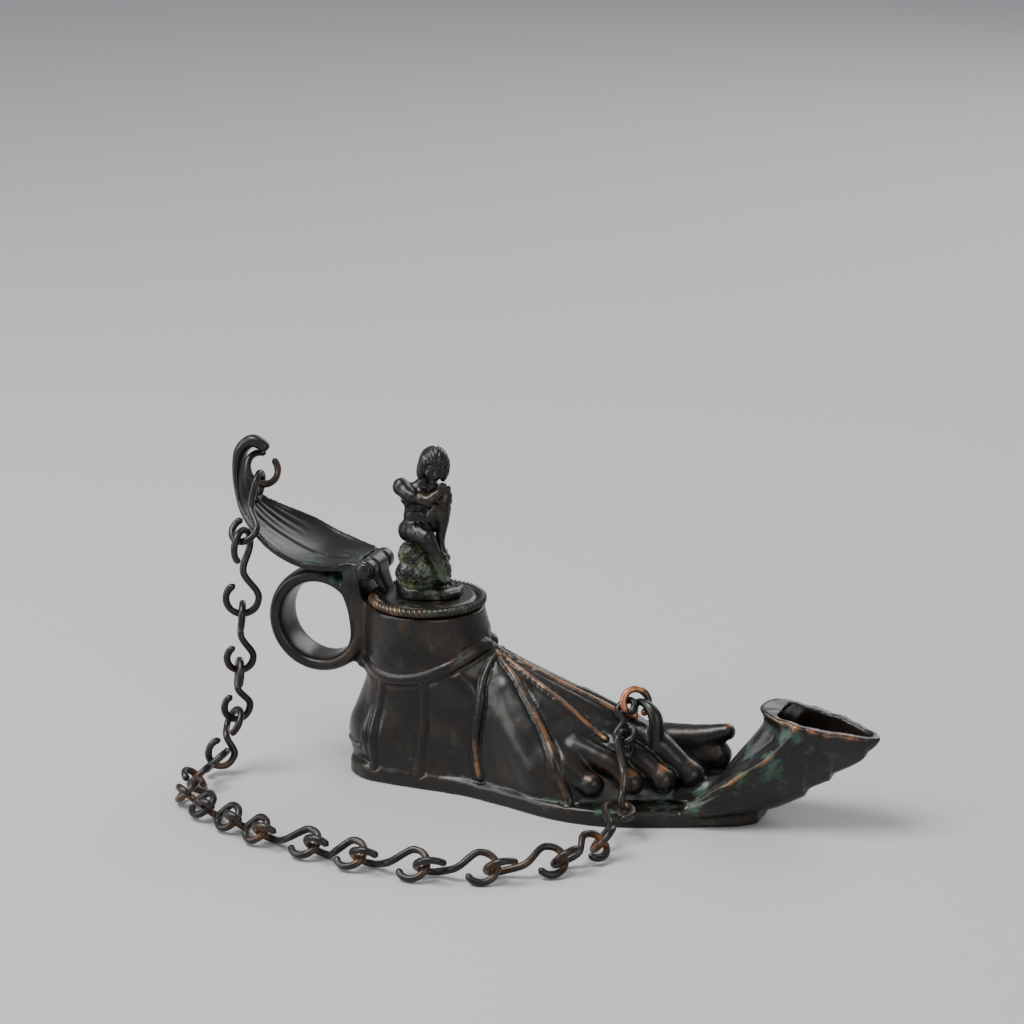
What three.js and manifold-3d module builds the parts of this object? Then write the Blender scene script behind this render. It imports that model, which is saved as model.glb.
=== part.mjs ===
// A bronze oil lamp in the form of a sandalled right foot, with a hinged lid that carries a small
// seated figure, a ring handle under a leaf-shaped thumb rest, and a chain of bent wire links.
// Millimetres. +X runs to the toes, +Y to the big-toe side, +Z up. The origin is on the underside of
// the sole, on its middle line. Every mesh is one solid.
import * as THREE from "three";
import { mergeVertices } from "three/addons/utils/BufferGeometryUtils.js";
import Module from "manifold-3d";

const wasm = await Module();
wasm.setup();

// ---- driving dimensions -------------------------------------------------------------------------
const SOLE_THICKNESS = 5;
const WALL = 2.7; // casting wall of the foot, ankle and nozzle
const FLOOR = 3; // thickness of the reservoir's floor
const SOLE_STEP = 1.8; // the foot stands this far in from the sole's edge
const ANKLE = { x: -45, rimZ: 54.6 }; // the ankle shaft's axis and its open rim
const LID_RADIUS = 16.2; // to the middle of the rope border
const ROPE_RADIUS = 1.6;
const LID_THICKNESS = 2.2;
const LID_GAP = 0.35; // between the ankle's rim and the lid
const PIN = { x: -62.2, z: 65, radius: 1.15, halfLength: 9.3, clearance: 0.3 };
const KNUCKLE_RADIUS = 3.2;
const TONGUE_HALF_WIDTH = 3.8;
const KNUCKLE_GAP = 0.4; // between tongue and knuckle, along the pin
const KNUCKLE_END = 8.6;
const RING = { x: -79.5, z: 47, outer: 16.4, inner: 11.6, halfWidth: 5 };
const STRAP_RADIUS = 1.25;
const LUG_RADIUS = 1.1; // radius of the loop the chain hangs from
const WIRE = 1.1; // radius of the chain's wire
const CHAIN_PLAY = 0.9; // slack between two links where they hook
const PLINTH = { x: -43.8, y: 1, rx: 12.2, ry: 9.2, thickness: 3.4 };

const SIDES = 14; // points round the foot, ankle and nozzle sections

// ---- small tools --------------------------------------------------------------------------------
const v3 = (x, y, z) => new THREE.Vector3(x, y, z);

// A closed geometry as a solid. Faces are turned to point out.
function solid(geometry) {
  const bare = new THREE.BufferGeometry();
  const flat = geometry.index ? geometry.toNonIndexed() : geometry;
  bare.setAttribute("position", flat.getAttribute("position"));
  const merged = mergeVertices(bare, 1e-4);
  const triVerts = new Uint32Array(merged.index.array);
  const make = () =>
    new wasm.Manifold(
      new wasm.Mesh({ numProp: 3, vertProperties: merged.attributes.position.array, triVerts }),
    );
  const first = make();
  if (first.volume() > 0) return first;
  for (let i = 0; i < triVerts.length; i += 3)
    [triVerts[i + 1], triVerts[i + 2]] = [triVerts[i + 2], triVerts[i + 1]];
  return make();
}

const join = (parts) => parts.reduce((sum, part) => sum.add(part));

function geometryOf(body) {
  const mesh = body.getMesh();
  const geometry = new THREE.BufferGeometry();
  geometry.setAttribute("position", new THREE.BufferAttribute(mesh.vertProperties, 3));
  geometry.setIndex(new THREE.BufferAttribute(mesh.triVerts, 1));
  geometry.computeVertexNormals();
  return geometry;
}

// A solid skin through equal rings of points, closed at both ends by a fan.
function loft(rings) {
  const n = rings[0].length;
  const points = rings.flat();
  const centre = (ring) => ring.reduce((s, p) => s.add(p), v3(0, 0, 0)).divideScalar(n);
  const first = points.push(centre(rings[0])) - 1;
  const last = points.push(centre(rings[rings.length - 1])) - 1;
  const index = [];
  for (let k = 0; k + 1 < rings.length; k++)
    for (let i = 0; i < n; i++) {
      const a = k * n + i;
      const b = k * n + ((i + 1) % n);
      index.push(a, b, a + n, b, b + n, a + n);
    }
  const top = (rings.length - 1) * n;
  for (let i = 0; i < n; i++) {
    index.push(first, (i + 1) % n, i);
    index.push(last, top + i, top + ((i + 1) % n));
  }
  const geometry = new THREE.BufferGeometry().setFromPoints(points);
  geometry.setIndex(index);
  return solid(geometry);
}

// A round bar along a smooth line through the points.
function bar(points, radius, sides, steps) {
  const outline = Array.from({ length: sides }, (_, i) => {
    const angle = (2 * Math.PI * i) / sides;
    return new THREE.Vector2(radius * Math.cos(angle), radius * Math.sin(angle));
  });
  const path = new THREE.CatmullRomCurve3(points, false, "centripetal");
  return new THREE.ExtrudeGeometry(new THREE.Shape(outline), {
    steps,
    extrudePath: path,
    bevelEnabled: false,
  });
}

// A tapered bar with round ends from a to b: toes, arms and legs. `steps` are the angles, down from
// the bar's own side to its end, at which the round ends have a ring.
function limb(a, b, ra, rb, sides, steps) {
  const length = a.distanceTo(b);
  const end = (r, way, from) =>
    steps.map((t) => new THREE.Vector2(r * Math.cos(rad(t)), from + way * r * Math.sin(rad(t))));
  const tip = (y) => new THREE.Vector2(0, y);
  const profile = [tip(-ra), ...end(ra, -1, 0).reverse(), ...end(rb, 1, length), tip(length + rb)];
  const geometry = new THREE.LatheGeometry(profile, sides);
  const along = b.clone().sub(a).normalize();
  geometry.applyQuaternion(new THREE.Quaternion().setFromUnitVectors(v3(0, 1, 0), along));
  geometry.translate(a.x, a.y, a.z);
  return solid(geometry);
}

function rad(degrees) {
  return (degrees * Math.PI) / 180;
}

function blob(centre, rx, ry, rz, turn = 0, around = 12, high = 8) {
  const geometry = new THREE.SphereGeometry(1, around, high);
  geometry.scale(rx, ry, rz).rotateZ(turn).translate(centre.x, centre.y, centre.z);
  return solid(geometry);
}

// A solid of revolution about the axis through the point, along Z or Y.
function turned(profile, at, axis, segments) {
  const points = profile.map(([r, h]) => new THREE.Vector2(r, h));
  const geometry = new THREE.LatheGeometry(points, segments);
  if (axis === "z") geometry.rotateX(Math.PI / 2);
  geometry.translate(at.x, at.y, at.z);
  return solid(geometry);
}

// A cylinder along Y, from y0 to y1.
const rod = (x, z, radius, y0, y1, segments) =>
  turned([[0, y0], [radius, y0], [radius, y1], [0, y1]], v3(x, 0, z), "y", segments);

// Straight-line reading of a short table of stations [position, value, ...].
function read(table, at, column = 1) {
  if (at <= table[0][0]) return table[0][column];
  for (let i = 1; i < table.length; i++)
    if (at <= table[i][0]) {
      const t = (at - table[i - 1][0]) / (table[i][0] - table[i - 1][0]);
      return table[i - 1][column] * (1 - t) + table[i][column] * t;
    }
  return table[table.length - 1][column];
}

// ---- the foot -----------------------------------------------------------------------------------
// The sole's two edges: [x, half-width to the little toe, half-width to the big toe].
const SOLE_EDGE = [
  [-70, 0, 0],
  [-68.6, 5, 5],
  [-65, 9, 9],
  [-59, 11.8, 11.8],
  [-45, 13, 12.8],
  [-29, 14, 12],
  [-14, 18, 11.8],
  [0, 22.6, 14],
  [12, 24.2, 19],
  [24, 22.6, 22.5],
  [36, 18.4, 22],
  [48, 13.4, 18],
  [57, 9.2, 11.5],
  [61, 5, 5],
];

// The foot above the sole: [x, top of the instep's ridge].
const RIDGE = [
  [-70, 30],
  [-30, 45],
  [-24, 43.8],
  [-9, 38.4],
  [10, 31.9],
  [22, 27.6],
  [28, 22],
  [33, 16.5],
  [40, 12.5],
  [46, 10.5],
];
const FOOT_STATIONS = [-58, -40, -24, -12, -2, 8, 17, 24, 30, 37, 46];

// The heel and ankle: [z, back x, front x, half-width].
const SHAFT = [
  [3.5, -69.2, -22, 10.8],
  [9, -69.6, -20, 11.6],
  [16, -68.7, -20, 12],
  [24.5, -66.8, -20, 12.3],
  [30.6, -64.4, -20.5, 12.9],
  [37, -64.4, -22, 14.4],
  [45, -64.5, -25, 16],
  [54.6, -63.4, -28, 17],
];

// The nozzle's sections, each a leaning oval: [back x, back z, front x, front z, half-width].
const NOZZLE = [
  [33, 9.5, 52, 2.4, 17],
  [42, 13.6, 62.6, 2.9, 14.6],
  [49.5, 20.5, 74, 9, 12.6],
  [54.5, 27, 83.6, 14.4, 11.8],
  [58, 32, 91, 19.6, 10.8],
  [59.6, 34.8, 95.2, 25.2, 9.8],
  [60, 36, 96.4, 29.5, 9.4],
];

function soleBody() {
  const near = SOLE_EDGE.map(([x, lateral]) => new THREE.Vector2(x, -lateral));
  const far = SOLE_EDGE.map(([x, , medial]) => new THREE.Vector2(x, medial)).reverse();
  const shape = new THREE.Shape();
  shape.moveTo(near[0].x, near[0].y);
  shape.splineThru(near.slice(1));
  shape.lineTo(far[0].x, far[0].y);
  shape.splineThru(far.slice(1, -1));
  shape.lineTo(near[0].x, near[0].y);
  return solid(
    new THREE.ExtrudeGeometry(shape, {
      depth: SOLE_THICKNESS,
      curveSegments: 2,
      bevelEnabled: false,
    }),
  );
}

const FOOT_BASE = SOLE_THICKNESS + 0.5; // the level of the foot's greatest width
const signedPower = (value, power) => Math.sign(value) * Math.abs(value) ** power;

// How far the section at x has gone from half an ellipse (0) towards a gable (1), over the toes' roots.
const gable = (x) => Math.min(Math.max((x + 5) / 20, 0), 1);

// A point of the foot's section at x. Angle 0 is the big-toe side, 90 the ridge, 180 the little-toe
// side. `lift` stands it off the skin, and a negative lift draws it in.
function onFoot(x, degrees, lift = 0) {
  const c = signedPower(Math.cos(rad(degrees)), 1 + 0.33 * gable(x));
  const s = signedPower(Math.sin(rad(degrees)), 1 + 0.6 * gable(x));
  const half = read(SOLE_EDGE, x, c < 0 ? 1 : 2) - SOLE_STEP + lift;
  const top = Math.max(read(RIDGE, x) + lift, FOOT_BASE + 1);
  return v3(x, half * c, FOOT_BASE + (top - FOOT_BASE) * s);
}

// One cross-section of the foot at x, drawn in by `inset`: the curve over the sole and a flat below.
function footRing(x, inset) {
  const bottom = inset ? FLOOR : SOLE_THICKNESS - 1.5;
  return Array.from({ length: SIDES }, (_, i) => {
    const degrees = (360 * i) / SIDES;
    const point = onFoot(x, degrees, -inset);
    if (degrees > 180) point.z = bottom;
    return point;
  });
}

// One level section of the heel and ankle shaft at z: an oval, a little square at the heel.
function shaftRing(z, inset) {
  const back = read(SHAFT, z, 1) + inset;
  const front = read(SHAFT, z, 2) - inset;
  const half = read(SHAFT, z, 3) - inset;
  return Array.from({ length: SIDES }, (_, i) => {
    const angle = (2 * Math.PI * i) / SIDES;
    return v3((front + back) / 2 + ((front - back) / 2) * Math.cos(angle), half * Math.sin(angle), z);
  });
}

// A point on the shaft's skin: 0 is the front, 180 the back, 270 the little-toe side.
function onShaft(z, degrees, lift = 0) {
  const back = read(SHAFT, z, 1) - lift;
  const front = read(SHAFT, z, 2) + lift;
  return v3(
    (front + back) / 2 + ((front - back) / 2) * Math.cos(rad(degrees)),
    (read(SHAFT, z, 3) + lift) * Math.sin(rad(degrees)),
    z,
  );
}

// One leaning section of the nozzle: an egg, wider at the back, drawn in by `inset`, raised by `rise`.
function nozzleRing([backX, backZ, frontX, frontZ, half], inset, rise = 0) {
  const dx = frontX - backX;
  const dz = frontZ - backZ;
  const length = Math.hypot(dx, dz);
  const along = v3(dx / length, 0, dz / length);
  const up = v3(-along.z, 0, along.x);
  const centre = v3((backX + frontX) / 2, 0, (backZ + frontZ) / 2).addScaledVector(up, rise);
  return Array.from({ length: SIDES }, (_, i) => {
    const angle = (2 * Math.PI * i) / SIDES;
    const c = Math.cos(angle);
    const egg = 1 - 0.3 * c - 0.12 * c * c;
    const point = centre.clone().addScaledVector(along, (length / 2 - inset) * c);
    point.y = (half - inset) * Math.sin(angle) * egg;
    return point;
  });
}

// A point on the nozzle's skin, s from 0 at the sole to 6 at the rim.
function onNozzle(s, degrees, lift) {
  const k = Math.min(Math.floor(s), NOZZLE.length - 2);
  const station = NOZZLE[k].map((value, j) => value + (NOZZLE[k + 1][j] - value) * (s - k));
  station[4] += lift;
  const [backX, backZ, frontX, frontZ, half] = station;
  const c = Math.cos(rad(degrees));
  const egg = 1 - 0.3 * c - 0.12 * c * c;
  return v3(
    (backX + frontX) / 2 + ((frontX - backX) / 2) * c,
    half * Math.sin(rad(degrees)) * egg,
    (backZ + frontZ) / 2 + ((frontZ - backZ) / 2) * c,
  );
}

// The four small toes: [root x, y, z, tip x, y, z, root radius, tip radius]. Tips rest just over the sole.
const TOES = [
  [24, -1, 20, 39.8, -3.2, 12, 4.6, 3.9],
  [19, -7, 19, 33, -9, 11.6, 4.4, 3.8],
  [13, -12, 17.5, 25.2, -13.8, 11.4, 4.2, 3.7],
  [4, -16.5, 15.5, 13.6, -18.2, 11, 4.2, 3.6],
];
const BIG_TOE = [24, 11, 15.5, 45.4, 12.2, 20.6, 6, 4.2];
const BALL = [26, 12, 9, 42, 12.5, 13, 6.4, 5.2]; // the flesh under the big toe

const toe = ([x0, y0, z0, x1, y1, z1, r0, r1]) =>
  limb(v3(x0, y0, z0), v3(x1, y1, z1), r0, r1, 9, [0, 45]);

// The sandal's straps, in relief on the foot and ankle, the same on both sides.
function straps() {
  const lines = [];
  for (const side of [-1, 1]) {
    const foot = (x, below) => onFoot(x, 90 - side * below);
    const shaft = (z, turn) => onShaft(z, side * turn);
    const band = [shaft(44.4, 12), shaft(38.6, 65), shaft(34, 98), shaft(33.4, 125), shaft(36, 152)];
    lines.push([...band, shaft(37, 180)]);
    lines.push([shaft(33.6, 98), shaft(20, 98), shaft(6.5, 97)]);
    lines.push([shaft(33.5, 127), shaft(20, 124), shaft(6.5, 121)]);
    lines.push([foot(-22, 14), foot(-23.5, 44), foot(-24, 64), foot(-21.5, 86)]);
    lines.push([foot(-21, 10), foot(-11, 24), foot(1, 46), foot(8, 80)]);
    lines.push([foot(-19, 7), foot(0, 12), foot(18, 27)]);
  }
  lines.push([onFoot(-20, 90), onFoot(0, 90), onFoot(20, 90)]);
  return lines.map((line) => solid(bar(line, STRAP_RADIUS, 4, line.length)));
}

// Raised ribs that sweep up the nozzle from the sole to the rim.
function ribs() {
  const parts = [];
  for (const side of [-1, 1])
    for (const turn of [146, 114, 84]) {
      const line = [1, 2.4, 3.8, 5, 5.9].map((s) => onNozzle(s, side * (turn - 3 * s), -0.3));
      parts.push(solid(bar(line, 1, 4, 4)));
    }
  return parts;
}

// The lug on the instep that the chain's last ring hangs in.
const LUG = [
  v3(20.6, 0.4, 25),
  v3(20.8, 0.3, 29),
  v3(22.1, -0.8, 31.7),
  v3(24.6, -2.2, 32.2),
  v3(27.4, -3.6, 30.8),
  v3(29.2, -4.4, 27.4),
  v3(29, -4.6, 20),
];

// ---- handle, leaf and hinge ---------------------------------------------------------------------
function ringHandle() {
  const middle = (RING.outer + RING.inner) / 2;
  const thick = (RING.outer - RING.inner) / 2;
  const flat = Math.cos(rad(22.5)); // an eight-sided section, its flats at the full thickness and width
  const profile = Array.from({ length: 8 }, (_, i) => {
    const angle = rad(22.5 + 45 * i);
    return [
      middle + (thick * Math.cos(angle)) / flat,
      (RING.halfWidth * Math.sin(angle)) / flat,
    ];
  });
  profile.push([...profile[0]]);
  return turned(profile, v3(RING.x, 0, RING.z), "y", 22);
}

// The leaf's middle line: [x, z, half-width, how far the edges stand above the middle, half-thickness].
const LEAF = [
  [-63.8, 66, 7, 1.2, 1.6],
  [-68.5, 65, 9.5, 2, 1.4],
  [-75, 64.8, 12.2, 2.6, 1.2],
  [-82, 65.8, 14, 2.8, 1.1],
  [-90, 69, 14, 3, 1.1],
  [-97.5, 73.2, 11, 2.8, 1.1],
  [-103.2, 78.4, 7.2, 2, 1.1],
  [-105.9, 84.5, 4.2, 1, 1.1],
  [-106.6, 91, 2.6, 0.3, 1.6],
  [-105.6, 96.4, 2.3, 0, 1.9],
  [-102.2, 99.5, 2.2, 0, 2],
  [-98.8, 98.7, 2.1, 0, 1.9],
  [-97.5, 97.1, 1.8, 0, 1.6],
];
const LEAF_ACROSS = 4; // cells across the leaf on each face
const LEAF_TILT = 0.11; // the leaf's big-toe side stands a little higher than its other side

function leaf() {
  const rings = LEAF.map(([x, z, half, dish, thick], i) => {
    const before = LEAF[Math.max(i - 1, 0)];
    const after = LEAF[Math.min(i + 1, LEAF.length - 1)];
    const tangent = v3(after[0] - before[0], 0, after[1] - before[1]).normalize();
    const up = v3(tangent.z, 0, -tangent.x);
    const row = (sign) =>
      Array.from({ length: LEAF_ACROSS + 1 }, (_, j) => {
        const t = (2 * j) / LEAF_ACROSS - 1;
        const lift = dish * t * t + sign * thick * (1 - 0.55 * t * t) + LEAF_TILT * half * t;
        return v3(x, half * t, z).addScaledVector(up, lift);
      });
    return [...row(1), ...row(-1).reverse()];
  });
  return loft(rings);
}

// The post between the ankle's back and the hinge: its front face stays clear of the lid.
function hingePost() {
  const slice = (z, back, front, half) => [
    v3(back, -half, z),
    v3(front, -half, z),
    v3(front, half, z),
    v3(back, half, z),
  ];
  return loft([
    slice(33, -66.5, -63, 3.6),
    slice(45, -68.4, -62.6, 5),
    slice(54.2, -69, -62.6, 6.4),
    slice(54.8, -69, -63.6, 6.6),
    slice(61.5, -69.4, -63.8, KNUCKLE_END),
    slice(67, -69.6, -63.4, KNUCKLE_END),
  ]);
}

const knuckle = (side) => {
  const inner = TONGUE_HALF_WIDTH + KNUCKLE_GAP;
  const y = side < 0 ? [-KNUCKLE_END, -inner] : [inner, KNUCKLE_END];
  return rod(PIN.x, PIN.z, KNUCKLE_RADIUS, y[0], y[1], 16);
};

function lampBody() {
  const reservoir = join([
    loft(FOOT_STATIONS.filter((x) => x <= 36).map((x) => footRing(x, WALL))),
    loft([...SHAFT.map(([z]) => z).slice(1), 60].map((z) => shaftRing(z, WALL))),
    loft([
      nozzleRing(NOZZLE[0], WALL + 1.5),
      ...NOZZLE.slice(1, -1).map((station) => nozzleRing(station, WALL)),
      nozzleRing(NOZZLE[NOZZLE.length - 1], WALL),
      nozzleRing(NOZZLE[NOZZLE.length - 1], WALL, 6),
    ]),
  ]);
  const skin = join([
    soleBody(),
    loft(FOOT_STATIONS.map((x) => footRing(x, 0))),
    loft(SHAFT.map(([z]) => shaftRing(z, 0))),
    loft(NOZZLE.map((station) => nozzleRing(station, 0))),
    ...TOES.map(toe),
    toe(BIG_TOE),
    toe(BALL),
    ...straps(),
    ...ribs(),
    solid(bar(LUG, LUG_RADIUS, 6, 12)),
    ringHandle(),
    hingePost(),
    leaf(),
    knuckle(-1),
    knuckle(1),
  ]);
  const sweep = KNUCKLE_RADIUS + 0.4;
  const slotEnd = TONGUE_HALF_WIDTH + KNUCKLE_GAP;
  const slot = rod(PIN.x, PIN.z, sweep, -slotEnd, slotEnd, 20);
  const bore = rod(PIN.x, PIN.z, PIN.radius + PIN.clearance, -KNUCKLE_END - 1, KNUCKLE_END + 1, 16);
  return skin.subtract(reservoir).subtract(slot).subtract(bore);
}

// ---- lid ----------------------------------------------------------------------------------------
function lidBody() {
  const bottom = ANKLE.rimZ + LID_GAP;
  const top = bottom + LID_THICKNESS;
  const border = Array.from({ length: 5 }, (_, i) => {
    const angle = rad(-90 + 60 * i);
    return [LID_RADIUS + ROPE_RADIUS * Math.cos(angle), bottom + ROPE_RADIUS * (1 + Math.sin(angle))];
  });
  const profile = [[0, bottom], ...border, [LID_RADIUS - 2.4, top], [0, top + 0.5]];
  const disc = turned(profile, v3(ANKLE.x, 0, 0), "z", 28);
  const barrel = rod(PIN.x, PIN.z, KNUCKLE_RADIUS, -TONGUE_HALF_WIDTH, TONGUE_HALF_WIDTH, 16);
  const slice = (x, low, high, half) => [
    v3(x, -half, low),
    v3(x, half, low),
    v3(x, half, high),
    v3(x, -half, high),
  ];
  const tongue = loft([
    slice(PIN.x - 0.5, PIN.z - 2.4, PIN.z + 3, TONGUE_HALF_WIDTH),
    slice(PIN.x + 2.4, PIN.z - 6.5, PIN.z + 1.4, TONGUE_HALF_WIDTH),
    slice(PIN.x + 4.6, bottom + 0.6, PIN.z - 4.5, TONGUE_HALF_WIDTH - 0.2),
    slice(PIN.x + 5.4, bottom + 0.6, top + 0.3, TONGUE_HALF_WIDTH - 0.4),
  ]);
  const bore = rod(PIN.x, PIN.z, PIN.radius + PIN.clearance, -KNUCKLE_END, KNUCKLE_END, 16);
  return disc.add(barrel).add(tongue).subtract(bore);
}

// ---- seated figure ------------------------------------------------------------------------------
// The figure's own frame, seen from its front: a to the right, b forwards, c up from the plinth.
const FIGURE_TURN = rad(21);
const LID_TOP = ANKLE.rimZ + LID_GAP + LID_THICKNESS;

function figurePoint(a, b, c) {
  const cos = Math.cos(FIGURE_TURN);
  const sin = Math.sin(FIGURE_TURN);
  return v3(PLINTH.x + a * cos + b * sin, PLINTH.y + a * sin - b * cos, LID_TOP + 0.7 + c);
}

function seatedFigure() {
  const p = figurePoint;
  const part = (from, to, ra, rb) => limb(p(...from), p(...to), ra, rb, 6, [25]);
  const lump = (at, rx, ry, rz, around = 8, high = 5) =>
    blob(p(...at), rx, ry, rz, FIGURE_TURN, around, high);
  const outline = [[0, 0], [1, 0], [0.97, PLINTH.thickness], [0, PLINTH.thickness]];
  const plinth = turned(outline, v3(0, 0, 0), "z", 18)
    .scale([PLINTH.rx, PLINTH.ry, 1])
    .translate([PLINTH.x, PLINTH.y, LID_TOP + 0.7]);
  return join([
    plinth,
    lump([-4.2, -0.6, 6.5], 7.4, 6.2, 5.2),
    lump([-4.8, -0.8, 12], 6, 5.4, 5.4),
    lump([1.8, 0.4, 6.8], 4.2, 4.4, 5),
    lump([-5.4, -0.4, 19.8], 5.4, 4.6, 4), // hips
    part([-4.8, 0, 20.6], [-4.8, 1.2, 31], 4.4, 5.4), // trunk
    part([-9, 0.8, 34.2], [-1, 0.2, 34.2], 2.9, 2.9), // shoulders
    part([-3.4, 1, 35], [-0.8, 1.8, 38.2], 2.2, 2.2), // neck
    lump([0.5, 2.4, 40.2], 4, 4.5, 5, 9, 6), // head
    lump([-0.6, 0.4, 39.6], 4.9, 4.5, 5.4), // hair
    part([-9.6, 1.2, 33.8], [-1, 6, 30.2], 2.5, 1.9), // right upper arm, across the chest
    part([-1, 6, 30.2], [3, 5.2, 35.4], 1.8, 1.4), // right forearm
    part([-7, 0.6, 19.8], [-1.6, 6.4, 19], 3.6, 2.7), // right thigh
    part([-1.6, 6.4, 18.8], [3, 5.4, 8], 2.3, 1.5), // right shin
    part([3, 5.2, 6.6], [6.2, 6.4, 5.4], 1.5, 1.2), // right foot
    part([-1.6, 0, 20.4], [3.6, 2.4, 30.4], 3.4, 2.6), // left thigh
    part([3.6, 2.6, 30.2], [2.2, 2.4, 17], 2.5, 1.7), // left shin
    part([2.2, 2, 16], [4.4, 4.6, 13.4], 1.8, 1.5), // left foot
    lump([1.6, 0.6, 12.2], 3.6, 3.6, 3.8),
  ]);
}

// ---- chain --------------------------------------------------------------------------------------
// Where each link hooks the next, from the leaf's curl down to the ground and round to the lug:
// [x, y, z, extra slack where the chain turns sharply].
const HOOKS = [
  [-98.4, -2.4, 88.6, 0],
  [-98.2, -16.6, 74.4, 0.3],
  [-98.7, -16.4, 51.6, 0],
  [-100.1, -16, 33.4, 0],
  [-101.2, -16.6, 17.8, 0],
  [-104.3, -23, 5.4, 0.8],
  [-104.4, -39, 4.55, 0],
  [-101.6, -52, 4.55, 0],
  [-91, -60.4, 4.55, 0.1],
  [-79.4, -66.8, 4.55, 0],
  [-67.6, -73, 4.55, 0],
  [-49.4, -77.5, 4.55, 0],
  [-33.6, -81, 4.55, 0],
  [-13.8, -82, 4.55, 0],
  [5.2, -76.4, 4.55, 0],
  [20.8, -63.4, 4.55, 0],
  [27.6, -48.4, 4.95, 0],
  [26.7, -28, 9, 0.1],
  [22.4, -12.8, 24.6, 0],
  [19.2, -2.9, 31.2, 0],
].map(([x, y, z, slack]) => ({ at: v3(x, y, z), slack }));

// How each of those links is turned about its own length at its two ends, and its eyes' radius.
// 0 stands the eye upright with the stem on top, 90 lays it flat.
const TURNS = [
  [10, 80, 4.2],
  [65, 5, 4.9],
  [92, 12, 4],
  [100, 20, 4],
  [110, 15, 4.1],
  [45, 45, 4.1],
  [135, 45, 4],
  [135, 50, 3.9],
  [140, 45, 3.8],
  [135, 45, 3.8],
  [135, 50, 4.3],
  [140, 50, 4.3],
  [135, 42, 4.4],
  [132, 40, 4.5],
  [130, 45, 4.4],
  [135, 48, 4.1],
  [138, 80, 4.1],
  [-5, 30, 3.7],
  [105, 121, 2.9],
];
const END_RING = {
  centre: v3(-98.7, 0, 91.3),
  radius: 5,
  normal: v3(-0.686, 0.514, -0.514),
  from: 60,
  sweep: 330,
};
const LUG_RING = {
  centre: v3(21.95, -1.9, 32),
  radius: 3.9,
  normal: v3(0.55, -0.75, 0.35),
  from: 200,
  sweep: 345,
};

// A wire link: a round open eye at each end, joined by a stem.
function linkPath(start, end, [turnP, turnQ, radius]) {
  const along = end.at.clone().sub(start.at).normalize();
  const level = Math.abs(along.z) > 0.75 ? v3(0.358, -0.934, 0) : v3(along.y, -along.x, 0);
  level.addScaledVector(along, -level.dot(along)).normalize();
  const over = level.clone().cross(along);
  const sideAt = (turn) =>
    over.clone().multiplyScalar(Math.cos(rad(turn))).addScaledVector(level, -Math.sin(rad(turn)));
  const past = radius - WIRE - CHAIN_PLAY / 2;
  const first = start.at.clone().addScaledVector(along, past - start.slack);
  const last = end.at.clone().addScaledVector(along, end.slack - past);
  const eye = (centre, side, way, degrees) =>
    centre
      .clone()
      .addScaledVector(along, way * radius * Math.cos(rad(degrees)))
      .addScaledVector(side, radius * Math.sin(rad(degrees)));
  const points = [];
  for (let d = -24; d > -300; d -= 34) points.push(eye(first, sideAt(turnP), 1, d));
  points.push(first.clone().add(last).multiplyScalar(0.5).addScaledVector(sideAt(turnP), 0.6));
  for (let d = 62; d < 340; d += 34) points.push(eye(last, sideAt(turnQ), -1, d));
  return points;
}

// An open wire ring round a centre.
function ringPath({ centre, radius, normal, from, sweep }) {
  const n = normal.clone().normalize();
  const a = v3(0, 0, 1).addScaledVector(n, -n.z).normalize();
  const b = n.clone().cross(a);
  return Array.from({ length: 13 }, (_, i) => {
    const angle = rad(from + (sweep * i) / 12);
    return centre
      .clone()
      .addScaledVector(a, radius * Math.cos(angle))
      .addScaledVector(b, radius * Math.sin(angle));
  });
}

// ---- the object ---------------------------------------------------------------------------------
const bronze = (colour, roughness) =>
  new THREE.MeshStandardMaterial({ color: colour, roughness, metalness: 0.85 });
const DARK_BRONZE = bronze(0x2b2722, 0.45);
const GREEN_BRONZE = bronze(0x3d4034, 0.5);
const WORN_COPPER = bronze(0x7a4a34, 0.4);
const CHAIN_BRONZE = bronze(0x4a3a30, 0.42);

const lamp = new THREE.Group();
lamp.name = "roman_oil_lamp";

function place(name, geometry, material) {
  const mesh = new THREE.Mesh(geometry, material);
  mesh.name = name;
  lamp.add(mesh);
}

place("lamp_body", geometryOf(lampBody()), DARK_BRONZE);
place("lid", geometryOf(lidBody()), DARK_BRONZE);
place("seated_figure", geometryOf(seatedFigure()), GREEN_BRONZE);
const hingePin = rod(PIN.x, PIN.z, PIN.radius, -PIN.halfLength, PIN.halfLength, 14);
place("hinge_pin", geometryOf(hingePin), CHAIN_BRONZE);

const LINK_STEPS = 16;
const wire = (points) => bar(points, WIRE, 5, LINK_STEPS);
const linkName = (k) => `chain_link_${String(k).padStart(2, "0")}`;
place(linkName(1), wire(ringPath(END_RING)), CHAIN_BRONZE);
TURNS.forEach((turns, k) => {
  const path = linkPath(HOOKS[k], HOOKS[k + 1], turns);
  place(linkName(k + 2), wire(path), CHAIN_BRONZE);
});
place(linkName(TURNS.length + 2), wire(ringPath(LUG_RING)), WORN_COPPER);

export default lamp;
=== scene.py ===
"""Bronze oil lamp in the form of a sandalled foot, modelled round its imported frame.

Lengths in the tables are millimetres in the frame's own axes: +X to the toes, +Y to the big-toe
side, +Z up, with the origin under the sole. Meshes are written in metres.
"""

import math
from functools import partial

import bpy
import numpy as np
from mathutils import Matrix, Vector


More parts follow.
